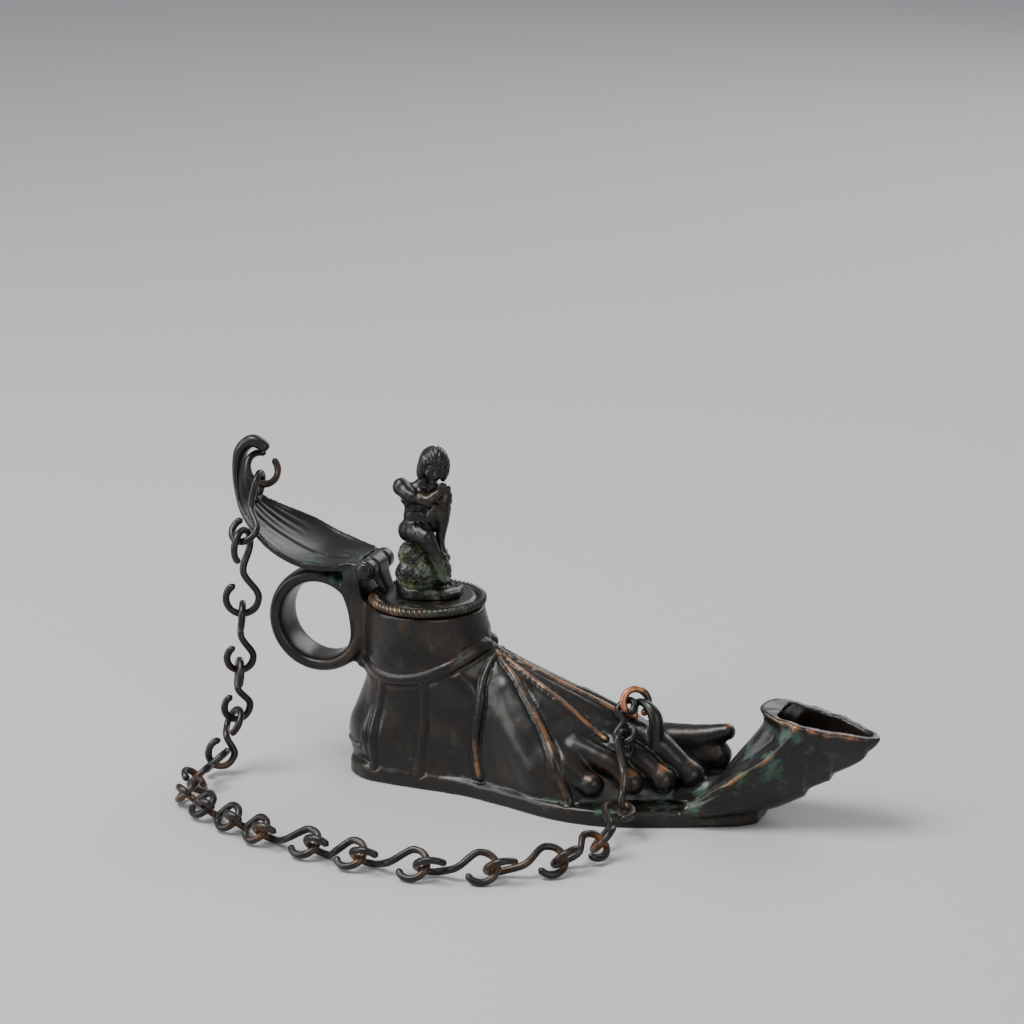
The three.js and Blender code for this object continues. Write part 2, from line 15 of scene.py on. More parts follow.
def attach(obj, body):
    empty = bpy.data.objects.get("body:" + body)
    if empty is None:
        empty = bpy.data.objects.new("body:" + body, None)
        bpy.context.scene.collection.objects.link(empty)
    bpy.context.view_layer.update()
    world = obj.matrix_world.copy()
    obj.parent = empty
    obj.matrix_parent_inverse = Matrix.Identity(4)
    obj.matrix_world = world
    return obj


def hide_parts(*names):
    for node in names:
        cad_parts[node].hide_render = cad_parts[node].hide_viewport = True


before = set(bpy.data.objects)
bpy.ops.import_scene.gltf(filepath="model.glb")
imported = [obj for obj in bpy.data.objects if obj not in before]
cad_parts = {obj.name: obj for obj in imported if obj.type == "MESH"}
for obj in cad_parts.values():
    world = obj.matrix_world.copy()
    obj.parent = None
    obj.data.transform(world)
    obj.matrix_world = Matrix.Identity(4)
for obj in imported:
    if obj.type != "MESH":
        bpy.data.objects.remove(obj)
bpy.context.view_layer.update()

bl_info = {
    "name": "Foot Lamp",
    "version": (1, 0, 0),
    "blender": (4, 5, 0),
    "location": "3D View > Sidebar > Foot Lamp",
    "description": "Builds a bronze oil lamp in the form of a sandalled foot",
    "category": "Add Mesh",
}

MM = 0.001

# ---- sizes shared with the frame ------------------------------------------------------------------
SOLE_THICKNESS = 5.0
WALL = 2.7
FLOOR = 3.0
SOLE_STEP = 1.8
FOOT_BASE = 5.5
ANKLE_X, ANKLE_RIM_Z = -45.0, 54.6
LID_RADIUS, ROPE_RADIUS, LID_THICKNESS, LID_GAP = 16.2, 1.6, 2.2, 0.35
LID_BOTTOM = ANKLE_RIM_Z + LID_GAP
LID_TOP = LID_BOTTOM + LID_THICKNESS
PIN_X, PIN_Z, PIN_RADIUS, PIN_CLEARANCE = -62.2, 65.0, 1.15, 0.3
KNUCKLE_RADIUS, KNUCKLE_GAP, KNUCKLE_END, TONGUE_HALF = 3.2, 0.4, 8.6, 3.8
RING_X, RING_Z, RING_MIDDLE, RING_THICK, RING_HALF = -78.8, 47.0, 14.0, 2.4, 6.8
PLINTH_X, PLINTH_Y = -43.8, 1.0
WIRE, CHAIN_PLAY = 1.1, 0.9
FIGURE_TURN = math.radians(21)
ROPE_FLATNESS = 0.88

# ---- sizes of the finer shapes --------------------------------------------------------------------
FAR = 20.0
FOOT_FILLET, NOZZLE_FILLET, TOE_FILLET, HANDLE_FILLET, FINE_FILLET = 5.0, 3.5, 1.5, 2.4, 0.8
STRAP_HEIGHT, GROOVE_DEPTH, GROOVE_AT, GROOVE_WIDTH = 0.7, 0.36, 1.35, 0.3
TENDON_HEIGHT, TENDON_WIDTH = 0.35, 1.5
ROPE_LOOPS, ROPE_DEPTH = 33, 0.42
STRAP_POINTS, STRAP_SMOOTHING, RAY_REACH = 40, 30, 2.6

# The sole's edges: x, half-width to the little toe, half-width to the big toe.
SOLE_EDGE = [
    (-70, 0, 0), (-68.6, 5, 5), (-65, 9, 9), (-59, 11.8, 11.8), (-45, 13, 12.8), (-29, 14, 12),
    (-14, 18, 11.8), (0, 22.6, 14), (12, 24.2, 19), (24, 22.6, 22.5), (36, 18.4, 22), (48, 13.4, 18),
    (57, 9.2, 11.5), (61, 5, 5),
]
# The ridge of the instep: x, height.
RIDGE = [
    (-70, 30), (-30, 45), (-24, 43.8), (-9, 38.4), (10, 31.9), (22, 27.6), (28, 22), (33, 16.5),
    (40, 12.5), (46, 10.5),
]
# The heel and ankle: z, back x, front x, half-width.
SHAFT = [
    (3.5, -69.2, -22, 10.8), (9, -69.6, -20, 11.6), (16, -68.7, -20, 12), (24.5, -66.8, -20, 12.3),
    (30.6, -64.4, -20.5, 12.9), (37, -64.4, -22, 14.4), (45, -64.5, -25, 16), (54.6, -63.4, -28, 17),
]
# The nozzle's leaning sections: back x, back z, front x, front z, half-width.
NOZZLE = [
    (30, 4.2, 50, 0.8, 16.4), (42, 9.4, 60.5, 2.6, 15.4), (46.5, 15.4, 67, 5.2, 13.6),
    (49.5, 20.5, 74, 9, 12.6), (54.5, 27, 83.6, 14.4, 11.8), (58, 32, 91, 19.6, 10.8),
    (59.6, 34.8, 95.2, 25.2, 9.8), (60, 36, 96.4, 29.5, 9.4),
]
# The edge that sweeps up the nozzle's side: how far up, turn from the nozzle's front.
CREST = [(0, 140), (0.18, 127), (0.36, 111), (0.57, 104), (0.88, 103), (1, 103)]
# The crest and the flutes before it: turn from the crest, height, width.
FLUTES = [(0, 1.0, 4.5), (-12, 0.6, 4.5), (-28, 0.5, 6), (-44, 0.2, 7)]
BED_DEPTH = 3.4
# The toes, each from its root over its knuckle to its tip: x, y, z, radius.
TOES = [
    [
        (13, -0.5, 24.6, 4), (27, -2.2, 21.2, 4.1), (33, -2.6, 17.2, 3.8), (36.8, -2.9, 14.2, 3.6),
        (39.8, -3.2, 12.1, 4.1),
    ],
    [(12, -6.4, 20.6, 4.2), (24, -8, 17.6, 3.8), (30.2, -8.6, 13.4, 3.5), (33.2, -9, 11.6, 4)],
    [(7, -11.6, 19, 4), (18.5, -13, 15.8, 3.6), (22.8, -13.5, 12.8, 3.2), (25.2, -13.8, 11.2, 3.6)],
    [(0, -16, 16.6, 4), (8, -17.6, 13.8, 3.5), (11.6, -18.1, 11.8, 3.2), (14.2, -18.5, 10.8, 3.5)],
    [(20, 10.5, 16, 6), (32, 11.3, 17.4, 4.7), (39, 11.8, 19, 3.7), (45.8, 12.2, 21.2, 2.5)],
    [(24, 12, 9, 6.4), (34, 12.2, 11.6, 6.2), (43, 12.5, 13.6, 4.2)],
    [(10, -12, 6, 4.6), (24, -8, 6, 4.4), (36, -4, 5.4, 3.8), (47, -2, 7.6, 4.6)],
]
# Tendons that fan from the instep to the toes' roots: x and y along each.
TENDONS = [
    [(5, 0.6), (13, -0.2), (21, -1)], [(3, -4.7), (9, -5.9), (15, -7)], [(0, -9), (4, -10.3), (9, -12)],
]
# Lumps of flesh and bone: centre, half lengths.
SWELLINGS = [
    ((-31, -11.4, 27), (8, 2.6, 9)),
    ((-31, 11.6, 29), (8, 2.6, 9)),
    ((4, -16.6, 13.6), (7, 4.6, 6)),
    ((22, 17, 13), (9, 5, 6)),
    ((-58, 0, 14), (11, 12.4, 9)),
]
# The swelling that runs down the outer side: x, y, z, radius.
BULGE = [(-17, -7, 32, 5), (-10, -11, 22, 7), (-3, -14.6, 13, 7.2)]
# The lug on the instep: x, y, z, radius.
LUG = [
    (20.6, 0.4, 25, 1.3), (20.8, 0.3, 29, 1.1), (22.1, -0.8, 31.7, 1.1), (24.6, -2.2, 32.2, 1.25),
    (27.4, -3.6, 30.8, 1.8), (29.2, -4.4, 27.4, 2.2), (29, -4.6, 20, 2.4),
]
# The leaf's middle line: x, z, half-width, how far the edges stand above the middle, half-thickness.
LEAF = [
    (-63.8, 66, 7, 1.2, 1.6), (-68.5, 65, 9.5, 2, 1.4), (-75, 64.8, 12.2, 2.6, 1.2),
    (-82, 65.8, 14, 2.8, 1.1), (-90, 69, 14, 3, 1.1), (-97.5, 73.2, 11, 2.8, 1.1),
    (-103.2, 78.4, 7.4, 2, 1.1), (-105.9, 84.5, 4.7, 1, 1.1), (-106.6, 91, 3.2, 0.3, 1.6),
    (-105.6, 96.4, 2.7, 0, 1.9), (-102.2, 99.5, 2.5, 0, 2), (-98.8, 98.7, 2.1, 0, 1.9),
    (-97.5, 97.1, 1.8, 0, 1.6),
]
LEAF_TILT = 0.11
# The post under the hinge: z, back x, front x, half-width.
POST = [
    (33, -66.5, -63, 3.6), (45, -68.4, -62.6, 5), (54.2, -69, -62.6, 6.4), (54.8, -69, -63.6, 6.6),
    (61.5, -69.4, -63.8, 8.6), (67, -69.6, -63.4, 8.6),
]
# Where each link hooks the next: x, y, z, slack.
HOOKS = [
    (-98.4, -2.4, 88.6, 0), (-98.2, -16.6, 74.4, 0.3), (-98.7, -16.4, 51.6, 0),
    (-100.1, -16, 33.4, 0), (-101.2, -16.6, 17.8, 0), (-104.3, -23, 5.4, 0.8),
    (-104.4, -39, 4.55, 0), (-101.6, -52, 4.55, 0), (-91, -60.4, 4.55, 0.1),
    (-79.4, -66.8, 4.55, 0), (-67.6, -73, 4.55, 0), (-49.4, -77.5, 4.55, 0), (-33.6, -81, 4.55, 0),
    (-13.8, -82, 4.55, 0), (5.2, -76.4, 4.55, 0), (20.8, -63.4, 4.55, 0), (27.6, -48.4, 4.95, 0),
    (26.7, -28, 9, 0.1), (22.4, -12.8, 24.6, 0), (19.2, -2.9, 31.2, 0),
]
# How each link is turned about its length at its two ends, and its eyes' radius.
TURNS = [
    (10, 80, 4.2), (65, 5, 4.9), (92, 12, 4), (100, 20, 4), (110, 15, 4.1), (45, 45, 4.1),
    (135, 45, 4), (135, 50, 3.9), (140, 45, 3.8), (135, 45, 3.8), (135, 50, 4.3), (140, 50, 4.3),
    (135, 42, 4.4), (132, 40, 4.5), (130, 45, 4.4), (135, 48, 4.1), (138, 80, 4.1), (-5, 30, 3.7),
    (105, 121, 2.9),
]
# The tops of the toes' tips, rubbed to the metal: centre and reach.
TIPS = [
    (39.8, -3.6, 15.8, 2.6), (33.2, -9.6, 15.2, 2.6), (25.2, -14.6, 14.4, 2.5),
    (14.2, -19.4, 13.8, 2.5), (45.8, 12, 23.4, 2.4),
]
# Where the hand has held the post: centre and reach.
HANDLED = [(-67.5, -5, 37, 5), (-68.5, -6.5, 45, 5), (-68.5, -7, 53, 5)]
# Places where handling has bared the metal, and where green salts lie: centre and reach.
RUBBED = [
    (71, -10.5, 33.6, 5), (80, -10, 32.6, 5), (89, -7.5, 31.4, 6), (-63, -8.5, 11.5, 4), (-79.5, -5, 32, 4),
    (60, -14, 11, 5), (58, -13.5, 15, 5), (67, -12.5, 22, 5), *HANDLED,
]
SALTED = [
    (60, -13, 19, 12), (70, -11, 27, 9), (46, -9, 9, 8), (34, -14, 7, 6), (-68, -4, 66, 7), (-77, -9, 66, 8),
    (50, -3, 14, 9), (-100, -4, 76, 8), (20, -20, 6, 6),
]
# The two end rings: centre, radius, normal, first angle, sweep.
END_RING = ((-98.7, 0, 91.3), 5, (-0.686, 0.514, -0.514), 60, 330)
LUG_RING = ((21.95, -1.9, 32), 3.9, (0.55, -0.75, 0.35), 200, 345)


# ---- reading tables and curves --------------------------------------------------------------------
def eased(table, at, column=1, spread=2.0):
    """The table's column at the positions: straight lines between stations, with every corner
    rounded by averaging five readings taken up to the spread either side."""
    shifts = np.linspace(-spread, spread, 5)
    return np.mean([read_column(table, at + shift, column) for shift in shifts], axis=0)


def read_column(table, at, column=1):
    """The table's column at the positions, by straight lines between stations."""
    rows = np.array(table, dtype=float)
    return np.interp(at, rows[:, 0], rows[:, column])


def through(points, count):
    """Count points on the smooth curve through the rows: between two rows, the cubic whose slopes
    there are half the step from the row before to the row after."""
    rows = np.array(points, dtype=float)
    rows = np.vstack([2 * rows[0] - rows[1], rows, 2 * rows[-1] - rows[-2]])
    place = np.linspace(0, len(rows) - 3, count)
    k = np.minimum(place.astype(int), len(rows) - 4)
    t = (place - k)[:, None]
    a, b, c, d = rows[k], rows[k + 1], rows[k + 2], rows[k + 3]
    return 0.5 * (2 * b + (c - a) * t + (2 * a - 5 * b + 4 * c - d) * t**2 + (3 * b - a - 3 * c + d) * t**3)


def unit(vectors):
    """The vectors at length one."""
    return vectors / np.linalg.norm(vectors, axis=-1, keepdims=True)


# ---- solids as fields of distance -----------------------------------------------------------------
def lattice(low, high, step):
    """Open arrays of x, y and z at every step between two corners."""
    return np.ix_(*[np.arange(a, b + step, step) for a, b in zip(low, high)])


def blank(axes):
    """A field over the whole lattice that is far outside everything."""
    return np.full([axis.size for axis in axes], FAR, dtype=np.float32)


def corner_and_step(axes):
    """The lattice's lowest corner and the distance between its samples."""
    first = axes[0].ravel()
    return np.array([axis.ravel()[0] for axis in axes]), first[1] - first[0]


def window(axes, low, high):
    """The part of the lattice between two corners, as slices, and its x, y and z."""
    spans = [slice(*np.searchsorted(axis.ravel(), pair)) for axis, pair in zip(axes, zip(low, high))]
    x, y, z = axes
    return tuple(spans), (x[spans[0]], y[:, spans[1]], z[:, :, spans[2]])


def soft_min(a, b, blend):
    """The lower of two fields, with a fillet of the blend's size where they meet."""
    near = np.maximum(blend - np.abs(a - b), 0) / max(blend, 1e-6)
    return np.minimum(a, b) - near * near * blend / 4


def soft_max(a, b, blend):
    """The higher of two fields, with its edge rounded by the blend."""
    return -soft_min(-a, -b, blend)


def as_distance(level, step):
    """A level that is zero on a surface, divided by its own slope, so that it reads as distance."""
    slopes = np.gradient(level, step)
    return level / np.sqrt(sum(s * s for s in slopes) + 1e-8)


def ellipsoid(x, y, z, centre, radii):
    """k0 (k0 - 1) / k1, where k0 is the position's length over the radii and k1 over their squares."""
    p = [(v - c) / r for v, c, r in zip((x, y, z), centre, radii)]
    k0 = np.sqrt(sum(v * v for v in p))
    k1 = np.sqrt(sum((v / r) ** 2 for v, r in zip(p, radii)))
    return k0 * (k0 - 1) / np.maximum(k1, 1e-6)


def cone(x, y, z, start, end):
    """Distance to a straight bar with round ends, whose radius runs evenly from one to the other."""
    a, b = np.array(start[:3], float), np.array(end[:3], float)
    along = b - a
    t = ((x - a[0]) * along[0] + (y - a[1]) * along[1] + (z - a[2]) * along[2]) / (along @ along)
    t = np.clip(t, 0, 1)
    gap = np.sqrt(sum((v - a[i] - t * along[i]) ** 2 for i, v in enumerate((x, y, z))))
    return gap - (start[3] + (end[3] - start[3]) * t)


def bar(x, y, z, stations):
    """The union of the bars between one station and the next: x, y, z, radius."""
    field = cone(x, y, z, stations[0], stations[1])
    for start, end in zip(stations[1:], stations[2:]):
        field = np.minimum(field, cone(x, y, z, start, end))
    return field


def merge(field, axes, low, high, shape, blend):
    """Joins a shape, worked out between two corners only, to the field with a fillet."""
    spans, place = window(axes, low, high)
    field[spans] = soft_min(field[spans], shape(*place), blend)


def merge_bar(field, axes, stations, blend, reach=4.0):
    """Joins a bar to the field, worked out only as far round it as the reach."""
    rows = np.array(stations, dtype=float)
    far = rows[:, 3].max() + reach
    merge(
        field, axes, rows[:, :3].min(0) - far, rows[:, :3].max(0) + far,
        lambda x, y, z: bar(x, y, z, stations), blend,
    )


def merge_lump(field, axes, centre, radii, blend, reach=4.0):
    """Joins an ellipsoid to the field, worked out only as far round it as the reach."""
    low, high = np.subtract(centre, radii) - reach, np.add(centre, radii) + reach
    merge(field, axes, low, high, lambda x, y, z: ellipsoid(x, y, z, centre, radii), blend)


def read_field(field, axes, points):
    """The field at the points, by straight lines between the eight samples round each."""
    low, step = corner_and_step(axes)
    place = np.clip((points - low) / step, 0, np.array(field.shape) - 1.001)
    k = place.astype(int)
    t = place - k
    total = np.zeros(len(points))
    for corner in np.ndindex(2, 2, 2):
        weight = np.prod(np.where(corner, t, 1 - t), axis=1)
        total += weight * field[tuple((k + corner).T)]
    return total


def pull_to_surface(field, axes, points, rounds=5):
    """Moves points along the field's slope until they lie where it is zero."""
    points = points.copy()
    for _ in range(rounds):
        slope = np.stack(
            [
                read_field(field, axes, points + s) - read_field(field, axes, points - s)
                for s in np.eye(3) * 0.6
            ],
            axis=1,
        )
        points -= unit(slope + 1e-9) * read_field(field, axes, points)[:, None]
    return points


def line_field(field, axes, lines, far=6.0):
    """Distance to lines over their own half-width: 0 on a line, 1 at its edge. A line is rows of
    x, y, z, half-width."""
    near = np.full(field.shape, 99.0, dtype=np.float32)
    for line in lines:
        for start, end in zip(line, line[1:]):
            width = (start[3] + end[3]) / 2
            ends = np.array([start[:3], end[:3]])
            spans, place = window(axes, ends.min(0) - far, ends.max(0) + far)
            gap = cone(*place, (*start[:3], 0), (*end[:3], 0)) / width
            near[spans] = np.minimum(near[spans], gap)
    return near


def box_blur(field, reach):
    """The mean of the samples up to the reach either side, along each axis in turn."""
    for axis in range(3):
        width = 2 * reach + 1
        pad = [(0, 0)] * 3
        pad[axis] = (reach + 1, reach)
        total = np.cumsum(np.pad(field, pad, mode="edge"), axis=axis, dtype=np.float64)
        upper = np.take(total, range(width, total.shape[axis]), axis=axis)
        lower = np.take(total, range(0, total.shape[axis] - width), axis=axis)
        field = ((upper - lower) / width).astype(np.float32)
    return field


def surface_net(field, axes):
    """A closed mesh where the field is zero: one point in each cell whose corners differ in sign, at
    the mean of the crossings on its edges, and one face across each lattice edge that changes sign."""
    low, step = corner_and_step(axes)
    inside = field < 0
    cells = tuple(n - 1 for n in field.shape)
    count = np.zeros(cells, dtype=np.int8)
    for corner in np.ndindex(2, 2, 2):
        count += inside[tuple(slice(c, c + n) for c, n in zip(corner, cells))]
    active = np.argwhere((count > 0) & (count < 8))
    number = np.full(cells, -1, dtype=np.int32)
    number[tuple(active.T)] = np.arange(len(active))
    place = np.zeros((len(active), 3))
    crossings = np.zeros(len(active))
    for corner in np.ndindex(2, 2, 2):
        for axis in range(3):
            if corner[axis]:
                continue
            other = np.array(corner)
            other[axis] = 1
            a = field[tuple((active + corner).T)]
            b = field[tuple((active + other).T)]
            cut = (a < 0) != (b < 0)
            t = np.where(cut, a / np.where(cut, a - b, 1), 0)
            spot = np.array(corner) + t[:, None] * (other - corner)
            place += spot * cut[:, None]
            crossings += cut
    points = low + step * (active + place / crossings[:, None])
    faces = []
    for axis in range(3):
        b, c = (axis + 1) % 3, (axis + 2) % 3
        ends = [slice(1, n - 1) for n in field.shape]
        ends[axis] = slice(0, field.shape[axis] - 1)
        shifted = list(ends)
        shifted[axis] = slice(1, field.shape[axis])
        first, second = inside[tuple(ends)], inside[tuple(shifted)]
        for rising in (False, True):
            edges = np.argwhere(first & ~second if rising else second & ~first)
            edges += [0 if k == axis else 1 for k in range(3)]
            ring = [(0, 0), (-1, 0), (-1, -1), (0, -1)]
            quad = []
            for shift_b, shift_c in ring if rising else ring[::-1]:
                cell = edges.copy()
                cell[:, b] += shift_b
                cell[:, c] += shift_c
                quad.append(number[tuple(cell.T)])
            faces.append(np.stack(quad, axis=1))
    return points, np.vstack(faces)


# ---- meshes ---------------------------------------------------------------------------------------
def lay_grid(rows, columns):
    """Faces of a grid of points numbered row by row, its columns joined round."""
    r, c = np.arange(rows - 1)[:, None], np.arange(columns)[None, :]
    right = (c + 1) % columns
    quads = [r * columns + c, r * columns + right, (r + 1) * columns + right, (r + 1) * columns + c]
    return np.stack(np.broadcast_arrays(*quads), axis=-1).reshape(-1, 4)


def make_object(name, points, faces, marks=None):
    """A smooth-shaded mesh object from points in millimetres and faces of four, with number
    attributes on its points."""
    mesh = bpy.data.meshes.new(name)
    mesh.vertices.add(len(points))
    mesh.vertices.foreach_set("co", (np.asarray(points) * MM).astype(np.float32).ravel())
    mesh.loops.add(faces.size)
    mesh.loops.foreach_set("vertex_index", faces.astype(np.int32).ravel())
    mesh.polygons.add(len(faces))
    mesh.polygons.foreach_set("loop_start", np.arange(0, faces.size, faces.shape[1], dtype=np.int32))
    mesh.update(calc_edges=True)
    mesh.validate()
    mesh.shade_smooth()
    set_marks(mesh, marks or {})
    thing = bpy.data.objects.new(name, mesh)
    bpy.context.scene.collection.objects.link(thing)
    return thing


def set_marks(mesh, marks):
    """Writes each mark as a number attribute on the mesh's points."""
    for label, values in marks.items():
        layer = mesh.attributes.new(label, "FLOAT", "POINT")
        layer.data.foreach_set("value", np.asarray(values, dtype=np.float32))


def thin_out(thing, limit):
    """Collapses the mesh's flattest edges until it has no more triangles than the limit."""
    count = sum(len(p.vertices) - 2 for p in thing.data.polygons)
    if count <= limit:
        return
    modifier = thing.modifiers.new("Fewer faces", "DECIMATE")
    modifier.ratio = limit / count
    shape = thing.evaluated_get(bpy.context.evaluated_depsgraph_get())
    mesh = bpy.data.meshes.new_from_object(shape)
    thing.modifiers.clear()
    thing.data = mesh
    mesh.shade_smooth()


def mesh_points(thing):
    """The object's points in millimetres."""
    values = np.empty(len(thing.data.vertices) * 3)
    thing.data.vertices.foreach_get("co", values)
    return values.reshape(-1, 3) / MM


def nearness(points, spots):
    """How near each point is to the spots, rows of x, y, z and reach: the greatest of
    exp(-(distance / reach)^2)."""
    spots = np.array(spots, dtype=float)
    square = (points**2).sum(1)[:, None] + (spots[:, :3] ** 2).sum(1) - 2 * points @ spots[:, :3].T
    return np.exp(-np.clip(square, 0, None) / spots[:, 3] ** 2).max(1)


def carve(name, field, axes, limit, more_marks, reach=2):
    """The field's surface as an object. Its marks say how far each point stands out of (raised) or
    back from (sunk) the surface round it; more_marks adds to them or replaces them."""
    thing = make_object(name, *surface_net(field, axes))
    thin_out(thing, limit)
    points = mesh_points(thing)
    step = corner_and_step(axes)[1]
    clipped = np.clip(field, -8 * step, 8 * step).astype(np.float32)
    narrow = read_field(box_blur(box_blur(clipped, reach), reach), axes, points)
    marks = {
        "raised": np.clip(narrow / (0.8 * step * reach), 0, 1),
        "sunk": np.clip(-narrow / (0.6 * step * reach), 0, 1),
    }
    set_marks(thing.data, {**marks, **more_marks(points, marks)})
    return thing


def sweep(path, radii, sides):
    """A bar along the path: at each point a circle across the path's direction, kept from turning by
    carrying its first spoke along. The bar's two ends are left open."""
    path = np.asarray(path, dtype=float)
    along = unit(np.gradient(path, axis=0))
    spoke = np.cross(along[0], (0.3, 0.5, 0.81))
    spokes = []
    for direction in along:
        spoke = spoke - direction * (spoke @ direction)
        spoke = spoke / np.linalg.norm(spoke)
        spokes.append(spoke)
    spokes = np.array(spokes)
    others = np.cross(along, spokes)
    turn = np.linspace(0, 2 * math.pi, sides, endpoint=False)[None, :, None]
    rings = spokes[:, None] * np.cos(turn) + others[:, None] * np.sin(turn)
    points = path[:, None] + rings * np.asarray(radii)[:, None, None]
    return points.reshape(-1, 3), lay_grid(len(path), sides)


def turned(profile, centre, sides, wobble=None):
    """A surface of revolution about an upright line: each station's radius and height, carried round.
    A wobble takes the station number and the angle and gives back a radius and a height to add."""
    rows = np.array(profile, dtype=float)
    angle = np.linspace(0, 2 * math.pi, sides, endpoint=False)[None, :]
    radius, height = (np.broadcast_to(rows[:, k : k + 1], (len(rows), sides)) for k in (0, 1))
    if wobble:
        outward, upward = wobble(np.arange(len(rows))[:, None], angle)
        radius, height = radius + outward, height + upward
    x, y = centre[0] + radius * np.cos(angle), centre[1] + radius * np.sin(angle)
    points = np.stack([x, y, height], axis=-1)
    return points.reshape(-1, 3), lay_grid(len(rows), sides)


# ---- the foot, ankle and nozzle -------------------------------------------------------------------
def foot_level(x, y, z):
    """Zero on the foot's skin. The distance out over the half-width and the height over the ridge,
    each raised to a power, add to one; the powers turn the midfoot's half oval into a gable over the
    toes' roots."""
    turn = np.clip((x + 5) / 20, 0, 1)
    out_power, up_power = 1 + 0.33 * turn, 1 + 0.6 * turn
    half = np.where(y < 0, eased(SOLE_EDGE, x, 1), eased(SOLE_EDGE, x, 2)) - SOLE_STEP
    top = np.maximum(eased(RIDGE, x), FOOT_BASE + 1)
    across = np.abs(y) / np.maximum(half, 1)
    above = np.maximum(z - FOOT_BASE, 0) / (top - FOOT_BASE)
    total = across ** (2 / out_power) + above ** (2 / up_power)
    return total ** ((out_power + up_power) / 4) - 1


def shaft_level(x, y, z):
    """Zero on the heel and ankle: an oval at each height."""
    back, front, half = (eased(SHAFT, z, column, 1.6) for column in (1, 2, 3))
    return np.hypot((x - (back + front) / 2) / ((front - back) / 2), y / half) - 1


def sole_outline():
    """Points round the sole's edge, curved between its stations."""
    rows = through(SOLE_EDGE, 90)
    near = np.stack([rows[:, 0], -rows[:, 1]], axis=1)
    far = np.stack([rows[:, 0], rows[:, 2]], axis=1)[::-1]
    return np.vstack([near, far[:-1]])


def outline_distance(x, y, outline):
    """Distance to a closed flat outline, negative inside: the least distance to its sides, signed by
    how often a line to one side crosses them."""
    best = np.full(np.broadcast_shapes(x.shape, y.shape), 1e9)
    inside = np.zeros(best.shape, dtype=bool)
    for (ax, ay), (bx, by) in zip(outline, np.roll(outline, -1, axis=0)):
        dx, dy = bx - ax, by - ay
        t = np.clip(((x - ax) * dx + (y - ay) * dy) / max(dx * dx + dy * dy, 1e-9), 0, 1)
        best = np.minimum(best, np.hypot(x - ax - t * dx, y - ay - t * dy))
        if ay != by:
            inside ^= ((ay > y) != (by > y)) & (x < (by - ay) ** -1 * (y - ay) * dx + ax)
    return np.where(inside, -best, best)


def nozzle_place(x, z):
    """Where points of the middle plane lie in the nozzle: how far up it (0 at the sole, 1 at the
    rim), how far across the leaning section (-1 back, 1 front), its half-length and half-width, and
    how far past either end."""
    rows = through(NOZZLE, 25)
    middle = (rows[:, :2] + rows[:, 2:4]) / 2
    lean = rows[:, 2:4] - rows[:, :2]
    half_length = np.linalg.norm(lean, axis=1) / 2
    lean = unit(lean)
    over = [(x - mx) * -lz + (z - mz) * lx for (mx, mz), (lx, lz) in zip(middle, lean)]
    station = 0
    for low, high in zip(over, over[1:]):
        station = station + np.clip(low / np.where(np.abs(low - high) < 1e-6, 1e-6, low - high), 0, 1)
    keys = np.arange(len(rows))

    def value(column):
        return np.interp(station, keys, column)

    reach = value(half_length)
    across = (x - value(middle[:, 0])) * value(lean[:, 0]) + (z - value(middle[:, 1])) * value(lean[:, 1])
    past_ends = np.where(over[0] < 0, -over[0], over[-1])
    return station / keys[-1], across / reach, reach, value(rows[:, 4]), past_ends


def nozzle_fields(x, y, z, step):
    """The nozzle's outside and its bore. A section is an egg, wider and squarer at the back; a crest and
    flutes stand out along lines that sweep round as they rise, the bed behind the crest lies back,
    and the rim's edge waves a little."""
    up, across, reach, half, over = nozzle_place(x, z)
    lean = np.clip(across, -1, 1)
    egg = 1 - 0.3 * lean - 0.12 * lean**2
    power = 2 + 0.6 * np.clip(-lean, 0, 1)
    level = (np.abs(across) ** power + np.abs(y / (half * egg)) ** power) ** (1 / power) - 1
    turn = np.degrees(np.arctan2(np.abs(y) / (half * egg), across))
    shown = np.clip(up / 0.26, 0, 1)
    crest = np.interp(up, *zip(*CREST))
    bed = np.clip((turn - crest - 3) / 22, 0, 1) * shown * np.clip((1 - up) / 0.32, 0, 1)
    skin = as_distance(level, step) + BED_DEPTH * bed * bed * (3 - 2 * bed)
    outside = skin
    for at, height, width in FLUTES:
        outside = outside - shown * height * np.exp(-(((turn - crest - at) / width) ** 2))
    wave = 0.3 * np.sin(0.31 * x + 0.4) * np.sin(0.5 * y + 0.8) + 0.12 * np.sin(0.8 * x - 0.6 * y)
    top = over + np.where(up > 0.9, wave, 0)
    bore = skin + WALL
    ledge = 7.2 - 2.2 * np.clip((1 - up) / 0.16, 0, 1) - (across + 1) * reach
    bore = soft_max(bore, ledge, 1.5)
    return soft_max(outside, top, 1.0), bore


